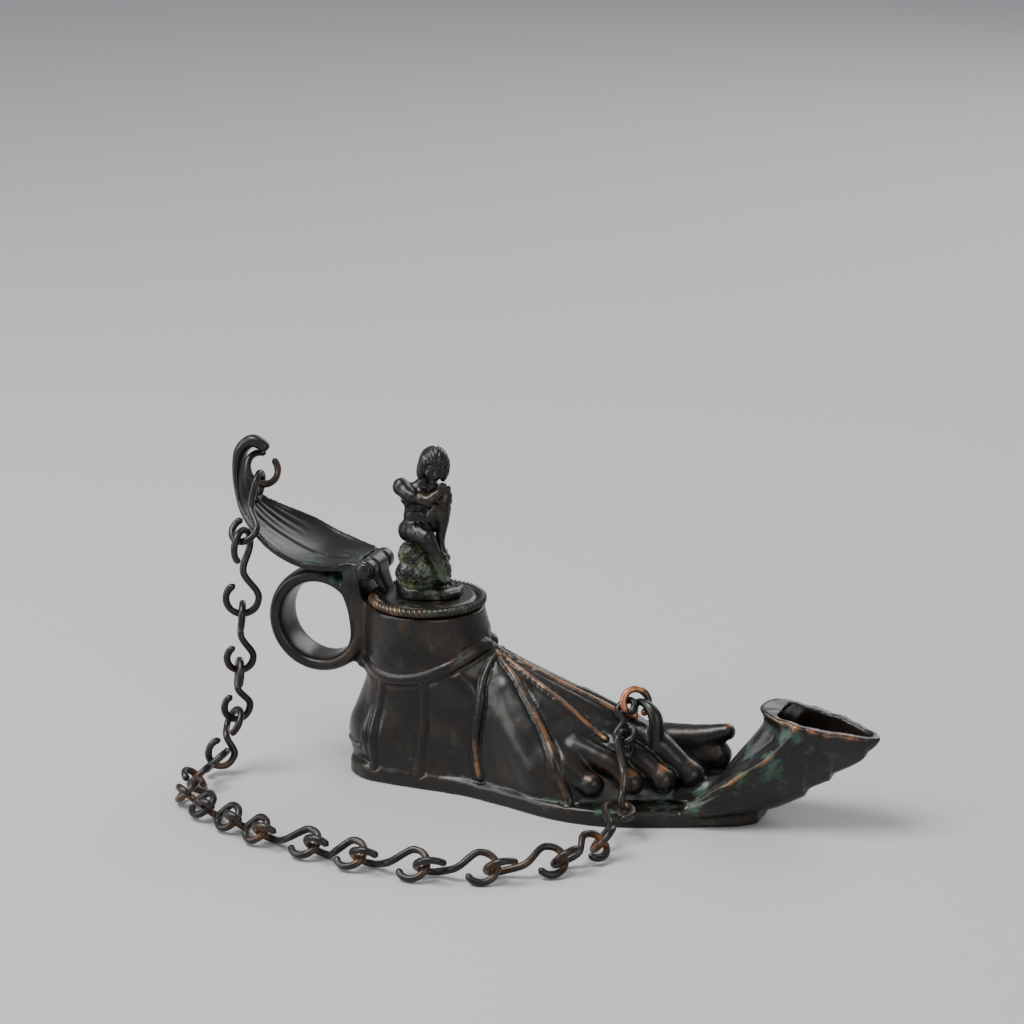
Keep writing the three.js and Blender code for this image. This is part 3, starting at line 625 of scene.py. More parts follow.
def strap_lines():
    """The sandal's straps as lines laid over the skin: x, y, z, half-width. The band rises from the
    heel to a point over the instep, and the others run from there and from the band to the sole. The
    two bands come first, then the near side's two uprights, then the rest."""

    def on_shaft(z, turn, side):
        """A place on the ankle: its height, and its turn from the front in degrees."""
        back, front, half = (read_column(SHAFT, z, k) for k in (1, 2, 3))
        angle = math.radians(turn)
        return ((front + back) / 2 + (front - back) / 2 * math.cos(angle), side * half * math.sin(angle), z)

    def on_foot(x, below, side):
        """A place on the foot: how far along, and its turn down from the ridge in degrees."""
        turn = min(max((x + 5) / 20, 0), 1)
        edge = read_column(SOLE_EDGE, x, 1 if side < 0 else 2) - SOLE_STEP
        top = read_column(RIDGE, x)
        out = math.sin(math.radians(below)) ** (1 + 0.33 * turn)
        up = math.cos(math.radians(below)) ** (1 + 0.6 * turn)
        return (x, side * edge * out, FOOT_BASE + (top - FOOT_BASE) * up)

    uprights = [
        (((34.6, 85), (26, 85), (18, 85), (11, 85), (5.5, 85)), 1.25, 1.35),
        (((33, 127), (25, 125), (18, 124), (5.5, 121)), 1.25, 1.35),
    ]
    rays = [
        (((-22, 10), (-23.5, 32), (-25, 52), (-25.4, 70), (-23.2, 88)), 0.75, 1.5),
        (((-21, 12), (-15, 26), (-8.5, 39), (-2.5, 50), (2.5, 61), (8, 86)), 0.65, 1.6),
        (((-20, 9), (-6, 21), (5, 28), (15.5, 36)), 0.7, 0.9),
    ]
    band = [(44.6, 8), (42.6, 38), (38.6, 65), (34.6, 90), (33.2, 112), (33.4, 130), (35.6, 152), (37, 180)]
    broad, narrow = [], []
    for side in (-1, 1):
        broad.append(([on_shaft(*spot, side) for spot in band], 1.7, 1.7))
        narrow += [([on_shaft(*spot, side) for spot in spots], *widths) for spots, *widths in uprights]
        narrow += [([on_foot(*spot, side) for spot in spots], *widths) for spots, *widths in rays]
    narrow.append(([on_foot(x, b, -1) for x, b in ((-20, 2), (-9, 6), (3, 8), (17, 11))], 0.8, 0.9))
    narrow.append(([on_shaft(z, t, -1) for z, t in ((11, 166), (11.4, 150), (11.8, 134))], 0.7, 0.7))
    return [
        np.column_stack([through(line, STRAP_POINTS), np.linspace(first, last, STRAP_POINTS)])
        for line, first, last in broad + narrow
    ]


def leaf_field(x, y, z):
    """The leaf as a bent sheet: the nearest place on its middle line gives the half-width, dish and
    thickness; the sheet rises to its edges, thins towards them, and carries veins and a rolled rim."""
    rows = through(LEAF, 160)
    middle = rows[:, :2]
    along = unit(np.gradient(middle, axis=0))
    flat_x, flat_z = np.broadcast_arrays(x[:, 0], z[0])
    gap = np.hypot(flat_x[..., None] - middle[:, 0], flat_z[..., None] - middle[:, 1])
    k = gap.argmin(axis=-1)
    dx, dz = flat_x - middle[k, 0], flat_z - middle[k, 1]
    past = dx * along[k, 0] + dz * along[k, 1]
    height = dx * along[k, 1] - dz * along[k, 0]
    length = np.cumsum(np.r_[0, np.linalg.norm(np.diff(middle, axis=0), axis=1)])
    ends = np.where((k == 0) | (k == len(rows) - 1), np.abs(past) - 0.3, -5)
    half, dish, thick = (rows[k, column][:, None, :] for column in (2, 3, 4))
    height, ends, run = (v[:, None, :] for v in (height, ends, length[k]))
    t = np.clip(y / half, -1.2, 1.2)
    lift = dish * t**2 + LEAF_TILT * half * t
    off = height - lift
    wide = np.clip((half - 3) / 6, 0, 1)
    edge = half - np.abs(y)
    veined = np.clip((run - 24) / 16, 0, 1) * np.clip(np.abs(t) / 0.2, 0, 1)
    veins = 0.2 * np.cos(2 * math.pi * (4.4 * np.abs(t) - run / 34)) * veined
    midrib = 0.4 * np.exp(-((y / 0.8) ** 2))
    relief = wide * np.where(off > 0, (veins + midrib) * np.clip(edge / 1.5, 0, 1), 0)
    rim = 0.45 * wide * np.exp(-(((edge - 0.8) / 0.7) ** 2))
    flat = np.clip((half - 2.7) / 1.5, 0, 1)
    arch = flat * (1 - 0.5 * t**2) + (1 - flat) * np.sqrt(np.clip(1 - t**2, 0.04, 1))
    sheet = np.abs(off) - thick * arch - relief - rim
    return soft_max(soft_max(sheet, np.abs(y) - half, 0.9), ends, 1.4)


def ring_level(x, y, z):
    """The ring handle: a rounded square section carried round, the cubes of its distance out and
    along the axle, each over its half-size, adding to one."""
    out = np.abs(np.hypot(x - RING_X, z - RING_Z) - RING_MIDDLE) / RING_THICK
    return np.cbrt(out**3 + np.abs(y / RING_HALF) ** 3) - 1


def post_field(x, y, z):
    """The hinge post: a block whose back, front and half-width follow its stations up."""
    back, front, half = (eased(POST, z, column, 0.4) for column in (1, 2, 3))
    side = soft_max(np.abs(y) - half, soft_max(back - x, x - front, 1.0), 1.0)
    return soft_max(side, soft_max(POST[0][0] - z, z - POST[-1][0], 0.8), 0.8)


def knuckle_field(x, y, z, start, end):
    """A short barrel along the hinge's axis."""
    round_part = np.hypot(x - PIN_X, z - PIN_Z) - KNUCKLE_RADIUS
    return soft_max(round_part, np.abs(y - (start + end) / 2) - (end - start) / 2, 1.1)


def cast_noise(x, y, z):
    """Slow waves in the casting's skin, from sines of mixed length whose phases bend each other."""
    broad = np.sin(0.42 * x + 1.3 * np.sin(0.31 * z)) * np.sin(0.37 * y + 0.29 * z + 0.8)
    short = np.sin(1.15 * x + 0.9 * y + 1.1 * np.sin(0.83 * z)) * np.sin(1.31 * z - 0.7 * y)
    return 0.07 * broad + 0.04 * short


def lamp_field(step):
    """The whole casting: foot, ankle, swellings, nozzle, sole and toes, run together with fillets;
    straps raised along lines on the skin; then handle, leaf and hinge; and the hollow taken out."""
    axes = lattice((-111, -27, -2.5), (99.5, 25.5, 103), step)
    field = blank(axes)

    foot_spans, place = window(axes, (-62, -27, -2.5), (50, 25.5, 50))
    foot = as_distance(foot_level(*place), step)
    foot = soft_max(foot, soft_max(-58 - place[0], place[0] - 46, 2.0), 2.0)
    root = 37 + 1.6 * np.minimum(place[1], 0) + 0.3 * np.maximum(place[1], 0)
    foot = soft_max(foot, 0.6 * (place[0] - root) + 0.55 * (place[2] - 14), 5.0)
    foot = soft_max(foot, 3.2 - place[2], 0.5)
    field[foot_spans] = foot
    shaft_spans, place = window(axes, (-74, -22, -2.5), (-12, 22, 60))
    shaft = as_distance(shaft_level(*place), step)
    capped = soft_max(soft_max(shaft, place[2] - ANKLE_RIM_Z, 0.8), 3.2 - place[2], 0.5)
    field[shaft_spans] = soft_min(field[shaft_spans], capped, FOOT_FILLET)
    for centre, radii in SWELLINGS:
        merge_lump(field, axes, centre, radii, FOOT_FILLET, 6.0)
    merge_bar(field, axes, through(BULGE, 48), FOOT_FILLET, 6.0)

    nozzle_spans, place = window(axes, (27, -23, -2.5), (99.5, 23, 42))
    nozzle, bore = nozzle_fields(*place, step)
    field[nozzle_spans] = soft_min(field[nozzle_spans], nozzle, NOZZLE_FILLET)

    x, y, z = axes
    edge = outline_distance(x[:, :, 0], y[:, :, 0], sole_outline())[:, :, None]
    sole = soft_max(soft_max(edge, z - SOLE_THICKNESS, 1.6), -z, 0.5)
    field = soft_min(field, sole.astype(np.float32), FINE_FILLET)

    toes = blank(axes)
    for stations in TOES:
        merge_bar(toes, axes, through(stations, 12), 1.0 if stations[0][1] < 0 else 2.5)
    field = soft_min(field, toes, TOE_FILLET)

    lines = []
    for line in strap_lines():
        course = pull_to_surface(field, axes, line[:, :3])
        for _ in range(STRAP_SMOOTHING):
            course[1:-1] = (course[:-2] + 2 * course[1:-1] + course[2:]) / 4
        lines.append(np.column_stack([pull_to_surface(field, axes, course), line[:, 3]]))
    near = line_field(field, axes, lines)
    field -= STRAP_HEIGHT * np.sqrt(np.clip(1 - near**2, 0, 1))
    field += GROOVE_DEPTH * np.exp(-(((near - GROOVE_AT) / GROOVE_WIDTH) ** 2))
    field += np.where(near > 1.2, cast_noise(x, y, z), 0).astype(np.float32)
    tendons = []
    for line in TENDONS:
        flat = through([(px, py, read_column(RIDGE, px) - 2) for px, py in line], 16)
        laid = pull_to_surface(field, axes, flat)
        tendons.append(np.column_stack([laid, np.full(len(laid), TENDON_WIDTH)]))
    field -= TENDON_HEIGHT * np.exp(-(line_field(field, axes, tendons) ** 2)) * (near > 1)

    merge_bar(field, axes, through(LUG, 24), FINE_FILLET)
    merge(
        field, axes, (-99, -10, 27), (-60, 10, 67),
        lambda *at: as_distance(ring_level(*at), step), HANDLE_FILLET,
    )
    merge(field, axes, (-74, -13, 30), (-58, 13, 71), post_field, HANDLE_FILLET)
    for start, end in ((-KNUCKLE_END, -TONGUE_HALF - KNUCKLE_GAP), (TONGUE_HALF + KNUCKLE_GAP, KNUCKLE_END)):
        merge(
            field, axes, (-69, start - 3, 58), (-56, end + 3, 72),
            lambda px, py, pz: knuckle_field(px, py, pz, start, end), FINE_FILLET,
        )
    merge(field, axes, (-111, -17, 60), (-60, 17, 103), leaf_field, 0.9)

    hollow = blank(axes)
    hollow[foot_spans] = foot + WALL
    upper = blank(axes)
    upper[shaft_spans] = shaft + WALL
    hollow = soft_min(hollow, upper, 3.0)
    hollow[nozzle_spans] = soft_min(hollow[nozzle_spans], bore.astype(np.float32), 2.0)
    hollow = soft_max(hollow, (FLOOR - z).astype(np.float32), 1.0)
    hollow = np.maximum(hollow, np.where((x < 33) & (z < 3.5), 1.0, -20.0))
    field = soft_max(field, -hollow, 0.5)

    across, high = x - PIN_X, z - PIN_Z
    slot = np.maximum(np.hypot(across, high) - KNUCKLE_RADIUS - 0.4, np.abs(y) - TONGUE_HALF - KNUCKLE_GAP)
    pin_hole = np.maximum(np.hypot(across, high) - PIN_RADIUS - PIN_CLEARANCE, np.abs(y) - KNUCKLE_END - 1)
    field = np.maximum(field, -np.minimum(slot, pin_hole))
    return soft_max(field, -z, 0.3).astype(np.float32), axes


def casting_marks(points, marks):
    """Bare metal mostly along the straps' rays and in the rubbed places, salts round their own places,
    and brown streaks down the ankle and where the hand has held the post."""
    after_uprights = 4
    rays = np.vstack([line[::2] for line in strap_lines()[after_uprights:]])
    rays[:, 3] = RAY_REACH
    rubbed = np.maximum(0.75 * nearness(points, rays), nearness(points, RUBBED))
    ankle = np.clip((points[:, 2] - 37) / 3, 0, 1) * np.clip((55 - points[:, 2]) / 2, 0, 1)
    shaft = (points[:, 0] > -64.5) & (points[:, 0] < -24)
    bared = np.clip(marks["raised"] * (0.3 + 1.3 * rubbed), 0, 1)
    return {
        "raised": np.maximum(bared, 0.7 * nearness(points, TIPS)),
        "salted": nearness(points, SALTED),
        "streaked": np.maximum(ankle * shaft, nearness(points, HANDLED)),
    }


# ---- the figure -----------------------------------------------------------------------------------
# Its own axes are a (across), b (forwards) and c (up from the plinth's foot).
ROCKS = [
    ((-4.2, -0.6, 6), (7.2, 6, 5)), ((-4.8, -0.8, 11.6), (5.8, 5.2, 5.2)),
    ((1.8, 0.2, 6.6), (4, 4.2, 5)), ((1.6, 0.4, 11.8), (3.4, 3.4, 3.6)),
    ((-7.6, 2.4, 7), (2.8, 2.6, 3)), ((-2.6, 3.8, 7), (3, 2.4, 3.6)), ((-6.4, 2.6, 13), (3, 2.6, 2.8)),
]
BODY_LUMPS = [
    ((-5.2, -0.6, 19.4), (4.9, 4.3, 3.7)), ((-4.8, 0.5, 24), (3.8, 3, 4.4)),
    ((-4.7, 0.8, 30), (4.7, 3.4, 4.6)), ((-6.8, 3, 31), (2.4, 1.5, 1.9)),
    ((-2.8, 3.2, 30.8), (2.3, 1.4, 1.9)),
    ((-9.2, 0.9, 33.3), (2.4, 2.4, 2.6)), ((-0.6, 0.4, 33.4), (2.2, 2.3, 2.5)),
]
LIMBS = [
    [(-3.4, 0.8, 33.8, 1.9), (-1, 1.6, 37, 1.75)],
    [(-9.4, 1.4, 33, 2.1), (-6, 4.4, 31.2, 1.9), (-1.2, 6.1, 30.2, 1.6)],
    [(-1.2, 6.1, 30.2, 1.6), (0.8, 6, 31.6, 1.45), (2.6, 5.6, 33.2, 1.1)],
    [(-0.4, 0.6, 33.2, 2), (2.2, 1.4, 31.8, 1.7), (4, 2.4, 32, 1.4)],
    [(-6.8, 0.4, 19.4, 3.4), (-4.4, 3.6, 19.8, 3.1), (-1.6, 6.2, 19, 2.4)],
    [(-1.6, 6.2, 19, 2.3), (0.6, 6.1, 14.2, 2), (2.6, 5.5, 8.8, 1.3), (3.1, 5.3, 6.8, 1.2)],
    [(3, 4.8, 6, 1.2), (4.8, 6, 5.3, 1.1), (6.8, 7, 5, 0.8)],
    [(-1.8, 0, 20.6, 3.1), (1.4, 1.2, 26, 2.9), (3.6, 2.4, 30.3, 2.3)],
    [(3.6, 2.6, 30.1, 2.3), (3.2, 2, 24.2, 2.1), (2.4, 2.2, 18, 1.5), (2.4, 2.2, 16, 1.3)],
    [(2.3, 2, 15, 1.3), (3.4, 3.8, 13.6, 1.2), (4.6, 5.4, 12.6, 0.9)],
]
HEAD = (0.6, 2.6, 40.2)
HEAD_NOD, HEAD_ROLL, HEAD_TURN = (math.radians(angle) for angle in (14, 10, 14))

# The face's parts, from the head's middle: out to the side, forwards, up; half lengths; fillet.
SIDE_FEATURES = [  # eye, brow, cheek
    ((1.3, 3.25, -0.15), (0.62, 0.5, 0.42), 0.15), ((1.3, 3.5, 0.75), (1.05, 0.45, 0.28), 0.4),
    ((1.9, 2.6, -1.7), (0.9, 0.9, 0.8), 0.9),
]
MIDDLE_FEATURES = [  # upper lip, lower lip, chin
    ((0, 3.75, -2.5), (0.85, 0.35, 0.2), 0.2), ((0, 3.6, -2.95), (0.7, 0.35, 0.22), 0.2),
    ((0, 3.1, -4.1), (0.95, 0.8, 0.7), 0.6),
]
NOSE = ((0, 3.5, 0.5, 0.3), (0, 4.35, -1.35, 0.48))


def head_axes():
    """The head's right, forward and up directions, as columns: nodded forwards, rolled to one
    shoulder and turned a little to the side it leans to."""
    nod = Matrix.Rotation(-HEAD_NOD, 3, "X")
    roll = Matrix.Rotation(HEAD_ROLL, 3, "Y")
    turn = Matrix.Rotation(-HEAD_TURN, 3, "Z")
    return np.array(turn @ roll @ nod)


def head_field(a, b, c):
    """A head on plain proportions: eyes half way down, the nose's foot half way from eyes to chin, the
    mouth a third below that, under a cap of hair parted over the brow that falls on both sides."""
    turn = head_axes()
    p = [v - o for v, o in zip((a, b, c), HEAD)]
    r, f, u = (sum(p[i] * turn[i][k] for i in range(3)) for k in range(3))
    skull = ellipsoid(r, f, u, (0, -0.4, 0.9), (3.5, 4.1, 3.9))
    jaw = ellipsoid(r, f, u, (0, 0.9, -2), (2.6, 2.9, 3))
    head = soft_min(skull, jaw, 1.6)
    for side in (-1, 1):
        socket = ellipsoid(r, f, u, (side * 1.35, 4.1, -0.1), (0.95, 0.7, 0.6))
        head = soft_max(head, -socket, 0.5)
        for (out, front, up), radii, blend in SIDE_FEATURES:
            head = soft_min(head, ellipsoid(r, f, u, (side * out, front, up), radii), blend)
    head = soft_min(head, cone(r, f, u, *NOSE), 0.4)
    for centre, radii, blend in MIDDLE_FEATURES:
        head = soft_min(head, ellipsoid(r, f, u, centre, radii), blend)
    hair = ellipsoid(r, f, u, (0, -0.9, 1.2), (4.4, 4.6, 4.3))
    fringe = 2.3 - 0.16 * r**2 + 0.15 * np.sin(3 * r)
    hair = soft_max(hair, np.where(f > 0.4, fringe + 0.3 - u, -2 - 0.6 * f - u * 0.2), 0.5)
    parting = 0.35 * np.exp(-((r / 0.35) ** 2)) * (u > 1)
    hair = hair - 0.13 * np.sin(7 * np.abs(r) + 1.9 * f - 1.1 * u) + parting
    for side in (-1, 1):
        fall = ellipsoid(r, f, u, (side * 3.5, 0.2, -1.1), (1.35, 2.3, 3.7))
        hair = soft_min(hair, fall - 0.13 * np.sin(4.6 * f + 2.4 * u), 0.8)
    nape = ellipsoid(r, f, u, (0, -2.6, -1.8), (3.4, 2.2, 3.2)) - 0.22 * np.sin(3.4 * r + 0.6 * u)
    return soft_min(soft_min(head, hair, 0.25), nape, 0.6)


def hand(field, axes, wrist, fist):
    """A loosely closed hand: a palm with four fingers laid over it."""
    merge_lump(field, axes, fist, (1.4, 1.2, 1.4), 0.5)
    for k in range(4):
        a = fist[0] - 0.9 + 0.6 * k
        knuckle = (a, fist[1] + 0.9, fist[2] + 0.5, 0.38)
        tip = (a + 0.1, fist[1] + 0.5, fist[2] + 1.1, 0.34)
        merge_bar(field, axes, [(a, fist[1] + 0.8, fist[2] - 0.6, 0.38), knuckle, tip], 0.25, 2.0)
    merge_bar(field, axes, [(*wrist, 1.05), (*fist, 1.1)], 0.5)


def figure_field(step):
    """A seated nude on a rock on an oval plinth: lumps and tapered bars run together, with furrows
    down the front and back, then the head, hands and toes."""
    axes = lattice((-13.5, -10.5, -0.8), (13.5, 10.5, 47.6), step)
    a, b, c = axes
    field = blank(axes)
    for centre, radii in ROCKS:
        merge_lump(field, axes, centre, radii, 1.2)
    facets = np.abs(np.sin(1.1 * a + 0.7 * np.sin(0.9 * c)) * np.sin(1.2 * c + 0.8 * b))
    facets = facets + 0.4 * np.abs(np.sin(2.3 * b + 1.7 * c + a))
    rough = 0.4 * facets - 0.18 * np.sin(3.1 * a) * np.sin(2.9 * b) * np.sin(3.3 * c)
    field += np.where(c < 17, rough, 0).astype(np.float32)
    rim = 0.35 * np.sin(5 * np.arctan2(b, a)) + 0.2 * np.sin(9 * np.arctan2(b, a) + 1)
    plinth = (np.hypot((a + 0.9) / 10.4, (b - 0.4) / 8.6) - 1) * 8.6 + 0.35 + rim
    top = 2.5 - 0.1 * a + 0.2 * np.sin(1.1 * a + 0.9 * b)
    plinth = soft_max(plinth, c - top, 0.6)
    field = soft_min(field, plinth, 1.2)

    body = blank(axes)
    for centre, radii in BODY_LUMPS:
        merge_lump(body, axes, centre, radii, 1.6)
    for stations in LIMBS:
        merge_bar(body, axes, through(stations, 9), 0.9)
    middle = -4.6 + 0.02 * (c - 20)
    trunk = np.clip((c - 20.6) / 2, 0, 1) * np.clip((33.6 - c) / 2, 0, 1)
    body += (0.32 * trunk * np.exp(-(((a - middle) / 0.5) ** 2)) * (np.abs(b) > 1.5)).astype(np.float32)
    belly = np.exp(-(((c - 25.8) / 0.35) ** 2)) + np.exp(-(((c - 28.2) / 0.35) ** 2))
    body += (0.22 * belly * (b > 1.5) * (np.abs(a - middle) < 2.8)).astype(np.float32)
    ribs = 0.14 * np.sin(2.6 * c + 0.8 * a) * np.clip((c - 25.6) / 2, 0, 1) * np.clip((31.6 - c) / 2, 0, 1)
    body += (ribs * (np.abs(a - middle) > 2.2)).astype(np.float32)
    merge(body, axes, (-6.8, -5, 32), (8, 10.4, 47.6), head_field, 0.35)
    hand(body, axes, (2.6, 5.6, 33.2), (3.1, 5.5, 34.2))
    hand(body, axes, (3.9, 2.6, 32.2), (4.3, 3.4, 32.8))
    for foot_x, foot_y, foot_z in ((6.8, 7, 4.8), (4.6, 5.4, 12.4)):
        for k in range(4):
            shift = (k - 1.5) * 0.42
            tip = (foot_x + 0.5 - 0.3 * shift, foot_y + shift + 0.6, foot_z - 0.3, 0.32)
            merge_bar(body, axes, [(foot_x - 0.6, foot_y + shift, foot_z, 0.4), tip], 0.15, 2.0)
    field = soft_min(field, body, 0.5)
    field = field + 0.05 * np.sin(1.9 * a + 1.1 * c) * np.sin(2.1 * b + 0.7)
    return soft_max(field, -c, 0.1).astype(np.float32), axes


def figure_marks(points, marks):
    """Salts over the rock and plinth, and little bare metal."""
    return {"raised": 0.6 * marks["raised"], "salted": np.clip((18 - points[:, 2]) / 5, 0.1, 0.8)}


def figure_place(points):
    """From the figure's own axes to the lamp's: turned about the upright and stood on the lid."""
    cos, sin = math.cos(FIGURE_TURN), math.sin(FIGURE_TURN)
    a, b, c = points.T
    return np.stack([PLINTH_X + a * cos + b * sin, PLINTH_Y + a * sin - b * cos, LID_TOP + 0.7 + c], axis=1)


# ---- the lid --------------------------------------------------------------------------------------
def lid_shell(sides=360):
    """The lid's disc: a flat underside, a rope border cut by grooves that twist round it, a step down
    inside the border, and a low dome."""
    angles = np.radians(np.linspace(-90, 175, 26))
    rope_height = ROPE_FLATNESS * ROPE_RADIUS
    centre_z = LID_BOTTOM + rope_height
    rope = [(LID_RADIUS + ROPE_RADIUS * math.cos(t), centre_z + rope_height * math.sin(t)) for t in angles]
    dome_edge = LID_RADIUS - 1.9
    radii = [dome_edge - 1.2 * k for k in range(11)]
    dome = [(radius, LID_TOP + 0.1 + 0.45 * (1 - (radius / dome_edge) ** 2)) for radius in radii]
    under = [(0, LID_BOTTOM), (5, LID_BOTTOM), (10, LID_BOTTOM), (14.5, LID_BOTTOM)]
    profile = under + rope + dome + [(0, LID_TOP + 0.55)]
    first, last = len(under), len(under) + len(rope)

    def strands(station, angle):
        """How far the border's surface moves out and up."""
        on_rope = (station >= first) & (station < last)
        section = angles[np.clip(station - first, 0, len(angles) - 1)]
        fade = np.clip((station - first) / 4, 0, 1) * np.clip((last - 1 - station) / 3, 0, 1)
        grooves = ROPE_DEPTH * np.abs(np.cos(1.3 * section + ROPE_LOOPS * angle)) ** 1.6
        wave = -grooves * fade + 0.06 * np.sin(13 * angle) * fade
        wave = np.where(on_rope, wave, 0)
        return wave * np.cos(section), wave * np.sin(section)

    return turned(profile, (ANKLE_X, 0), sides, strands)


def tongue_field(step):
    """The lid's hinge: a barrel on the pin and a tongue that steps down from it onto the disc."""
    axes = lattice((-67, -5.5, 54), (-53, 5.5, 70), step)
    x, y, z = axes
    field = knuckle_field(x, y, z, -TONGUE_HALF, TONGUE_HALF)
    stations = [
        (PIN_X - 0.5, PIN_Z - 2.4, PIN_Z + 3, TONGUE_HALF),
        (PIN_X + 2.4, PIN_Z - 6.5, PIN_Z + 1.4, TONGUE_HALF),
        (PIN_X + 4.6, LID_BOTTOM + 0.6, PIN_Z - 4.5, TONGUE_HALF - 0.2),
        (PIN_X + 5.4, LID_BOTTOM + 0.6, LID_TOP + 0.5, TONGUE_HALF - 0.4),
    ]
    low, high, half = (eased(stations, x, column, 1.1) for column in (1, 2, 3))
    tongue = soft_max(soft_max(low - z, z - high, 0.6), np.abs(y) - half, 2.8)
    tongue = soft_max(tongue, soft_max(stations[0][0] - x, x - stations[-1][0], 0.6), 0.6)
    field = soft_min(field, tongue, 1.6)
    hole = np.hypot(x - PIN_X, z - PIN_Z) - PIN_RADIUS - PIN_CLEARANCE
    return np.maximum(field, -hole).astype(np.float32), axes


# ---- the chain ------------------------------------------------------------------------------------
def link_path(start, end, turn_start, turn_end, radius):
    """A wire link's line: an open round eye about each hook point, in a plane turned about the link's
    length, and a stem from one to the other."""
    p, q = np.array(start[:3], float), np.array(end[:3], float)
    along = unit(q - p)
    level = np.array([0.358, -0.934, 0]) if abs(along[2]) > 0.75 else np.array([along[1], -along[0], 0])
    level = unit(level - along * (level @ along))
    over = np.cross(level, along)

    def side(turn):
        """The direction across the link at a turn about its length."""
        return over * math.cos(math.radians(turn)) - level * math.sin(math.radians(turn))

    past = radius - WIRE - CHAIN_PLAY / 2
    first, last = p + along * (past - start[3]), q - along * (past - end[3])
    leave = np.radians(np.arange(-24, -300, -34))[:, None]
    arrive = np.radians(np.arange(62, 340, 34))[:, None]
    eye_first = first + radius * (along * np.cos(leave) + side(turn_start) * np.sin(leave))
    eye_last = last + radius * (-along * np.cos(arrive) + side(turn_end) * np.sin(arrive))
    stem = (first + last) / 2 + side(turn_start) * 0.6
    return through(np.vstack([eye_first, stem, eye_last]), 110)


def ring_path(centre, radius, normal, start, span):
    """An open round ring about its centre, in the plane across its normal."""
    n = unit(np.array(normal, float))
    up = unit(np.array([0, 0, 1.0]) - n * n[2])
    across = np.cross(n, up)
    angle = np.radians(start + span * np.linspace(0, 1, 80))[:, None]
    return np.array(centre) + radius * (up * np.cos(angle) + across * np.sin(angle))


def wire_radii(count, seed, ends=2.2):
    """The wire's radius along its length: hammered a little uneven, and rounded off at both ends."""
    place = np.arange(count)
    uneven = 1 + 0.035 * np.sin(0.23 * place + seed) + 0.025 * np.sin(0.61 * place + 2.3 * seed)
    from_end = np.minimum(place, count - 1 - place) / ends
    return (WIRE - 0.03) * uneven * np.sqrt(np.clip(from_end, 0.02, 1))


# ---- materials ------------------------------------------------------------------------------------
PATINA = "Old bronze"
BUMP_STRENGTH, BUMP_HEIGHT = 0.25, 0.0003
COLOURS = ["Dark", "Brown", "Worn", "Green", "Blue"]
AMOUNTS = ["Brown amount", "Wear amount", "Green amount"]
MARKS = ["Raised", "Sunk", "Salted", "Streaked"]
# Each bronze: its material's name, then its amounts.
FINISHES = {
    "body": ("Lamp bronze", 0.3, 0.75, 0.7),
    "figure": ("Figure bronze", 0.5, 0.5, 0.85),
    "chain": ("Chain bronze", 0.7, 0.85, 0.3),
    "ring": ("Bright copper wire", 1.0, 1.0, 0.0),
}


def add_node(tree, kind, **settings):
    """A new node with the given settings."""
    node = tree.nodes.new(kind)
    for key, value in settings.items():
        setattr(node, key, value)
    return node


def new_group(name, inputs, outputs):
    """An empty shader node group with the named sockets. Returns its tree, input and output nodes."""
    tree = bpy.data.node_groups.new(name, "ShaderNodeTree")
    for label, kind, default in inputs:
        socket = tree.interface.new_socket(label, in_out="INPUT", socket_type=kind)
        socket.default_value = default
    for label, kind in outputs:
        tree.interface.new_socket(label, in_out="OUTPUT", socket_type=kind)
    return tree, add_node(tree, "NodeGroupInput"), add_node(tree, "NodeGroupOutput")


def link(tree, source, target):
    """Joins an output to an input."""
    tree.links.new(source, target)


def scaled_noise(tree, position, scale, detail=4.0, rough=0.6, stretch=None):
    """Noise over a position in metres; the scale is in features per metre."""
    if stretch:
        mapping = add_node(tree, "ShaderNodeMapping")
        mapping.inputs["Scale"].default_value = stretch
        link(tree, position, mapping.inputs["Vector"])
        position = mapping.outputs["Vector"]
    noise = add_node(tree, "ShaderNodeTexNoise")
    noise.inputs["Scale"].default_value = scale
    noise.inputs["Detail"].default_value = detail
    noise.inputs["Roughness"].default_value = rough
    link(tree, position, noise.inputs["Vector"])
    return noise.outputs["Fac"]


def between(tree, value, low, high):
    """0 below the low value, 1 above the high one, and smooth between."""
    node = add_node(tree, "ShaderNodeMapRange", interpolation_type="SMOOTHSTEP")
    node.inputs["From Min"].default_value = low
    node.inputs["From Max"].default_value = high
    link(tree, value, node.inputs["Value"])
    return node.outputs["Result"]


def maths(tree, operation, first, second):
    """The operation on two values, each an output or a number. All but a difference are kept between
    0 and 1."""
    node = add_node(tree, "ShaderNodeMath", operation=operation, use_clamp=operation != "SUBTRACT")
    for socket, value in zip(node.inputs, (first, second)):
        if isinstance(value, (int, float)):
            socket.default_value = value
        else:
            link(tree, value, socket)
    return node.outputs["Value"]


def blend_colour(tree, mask, under, over):
    """The over colour laid on the under colour through the mask."""
    node = add_node(tree, "ShaderNodeMix", data_type="RGBA")
    link(tree, mask, node.inputs[0])
    link(tree, under, node.inputs[6])
    link(tree, over, node.inputs[7])
    return node.outputs[2]


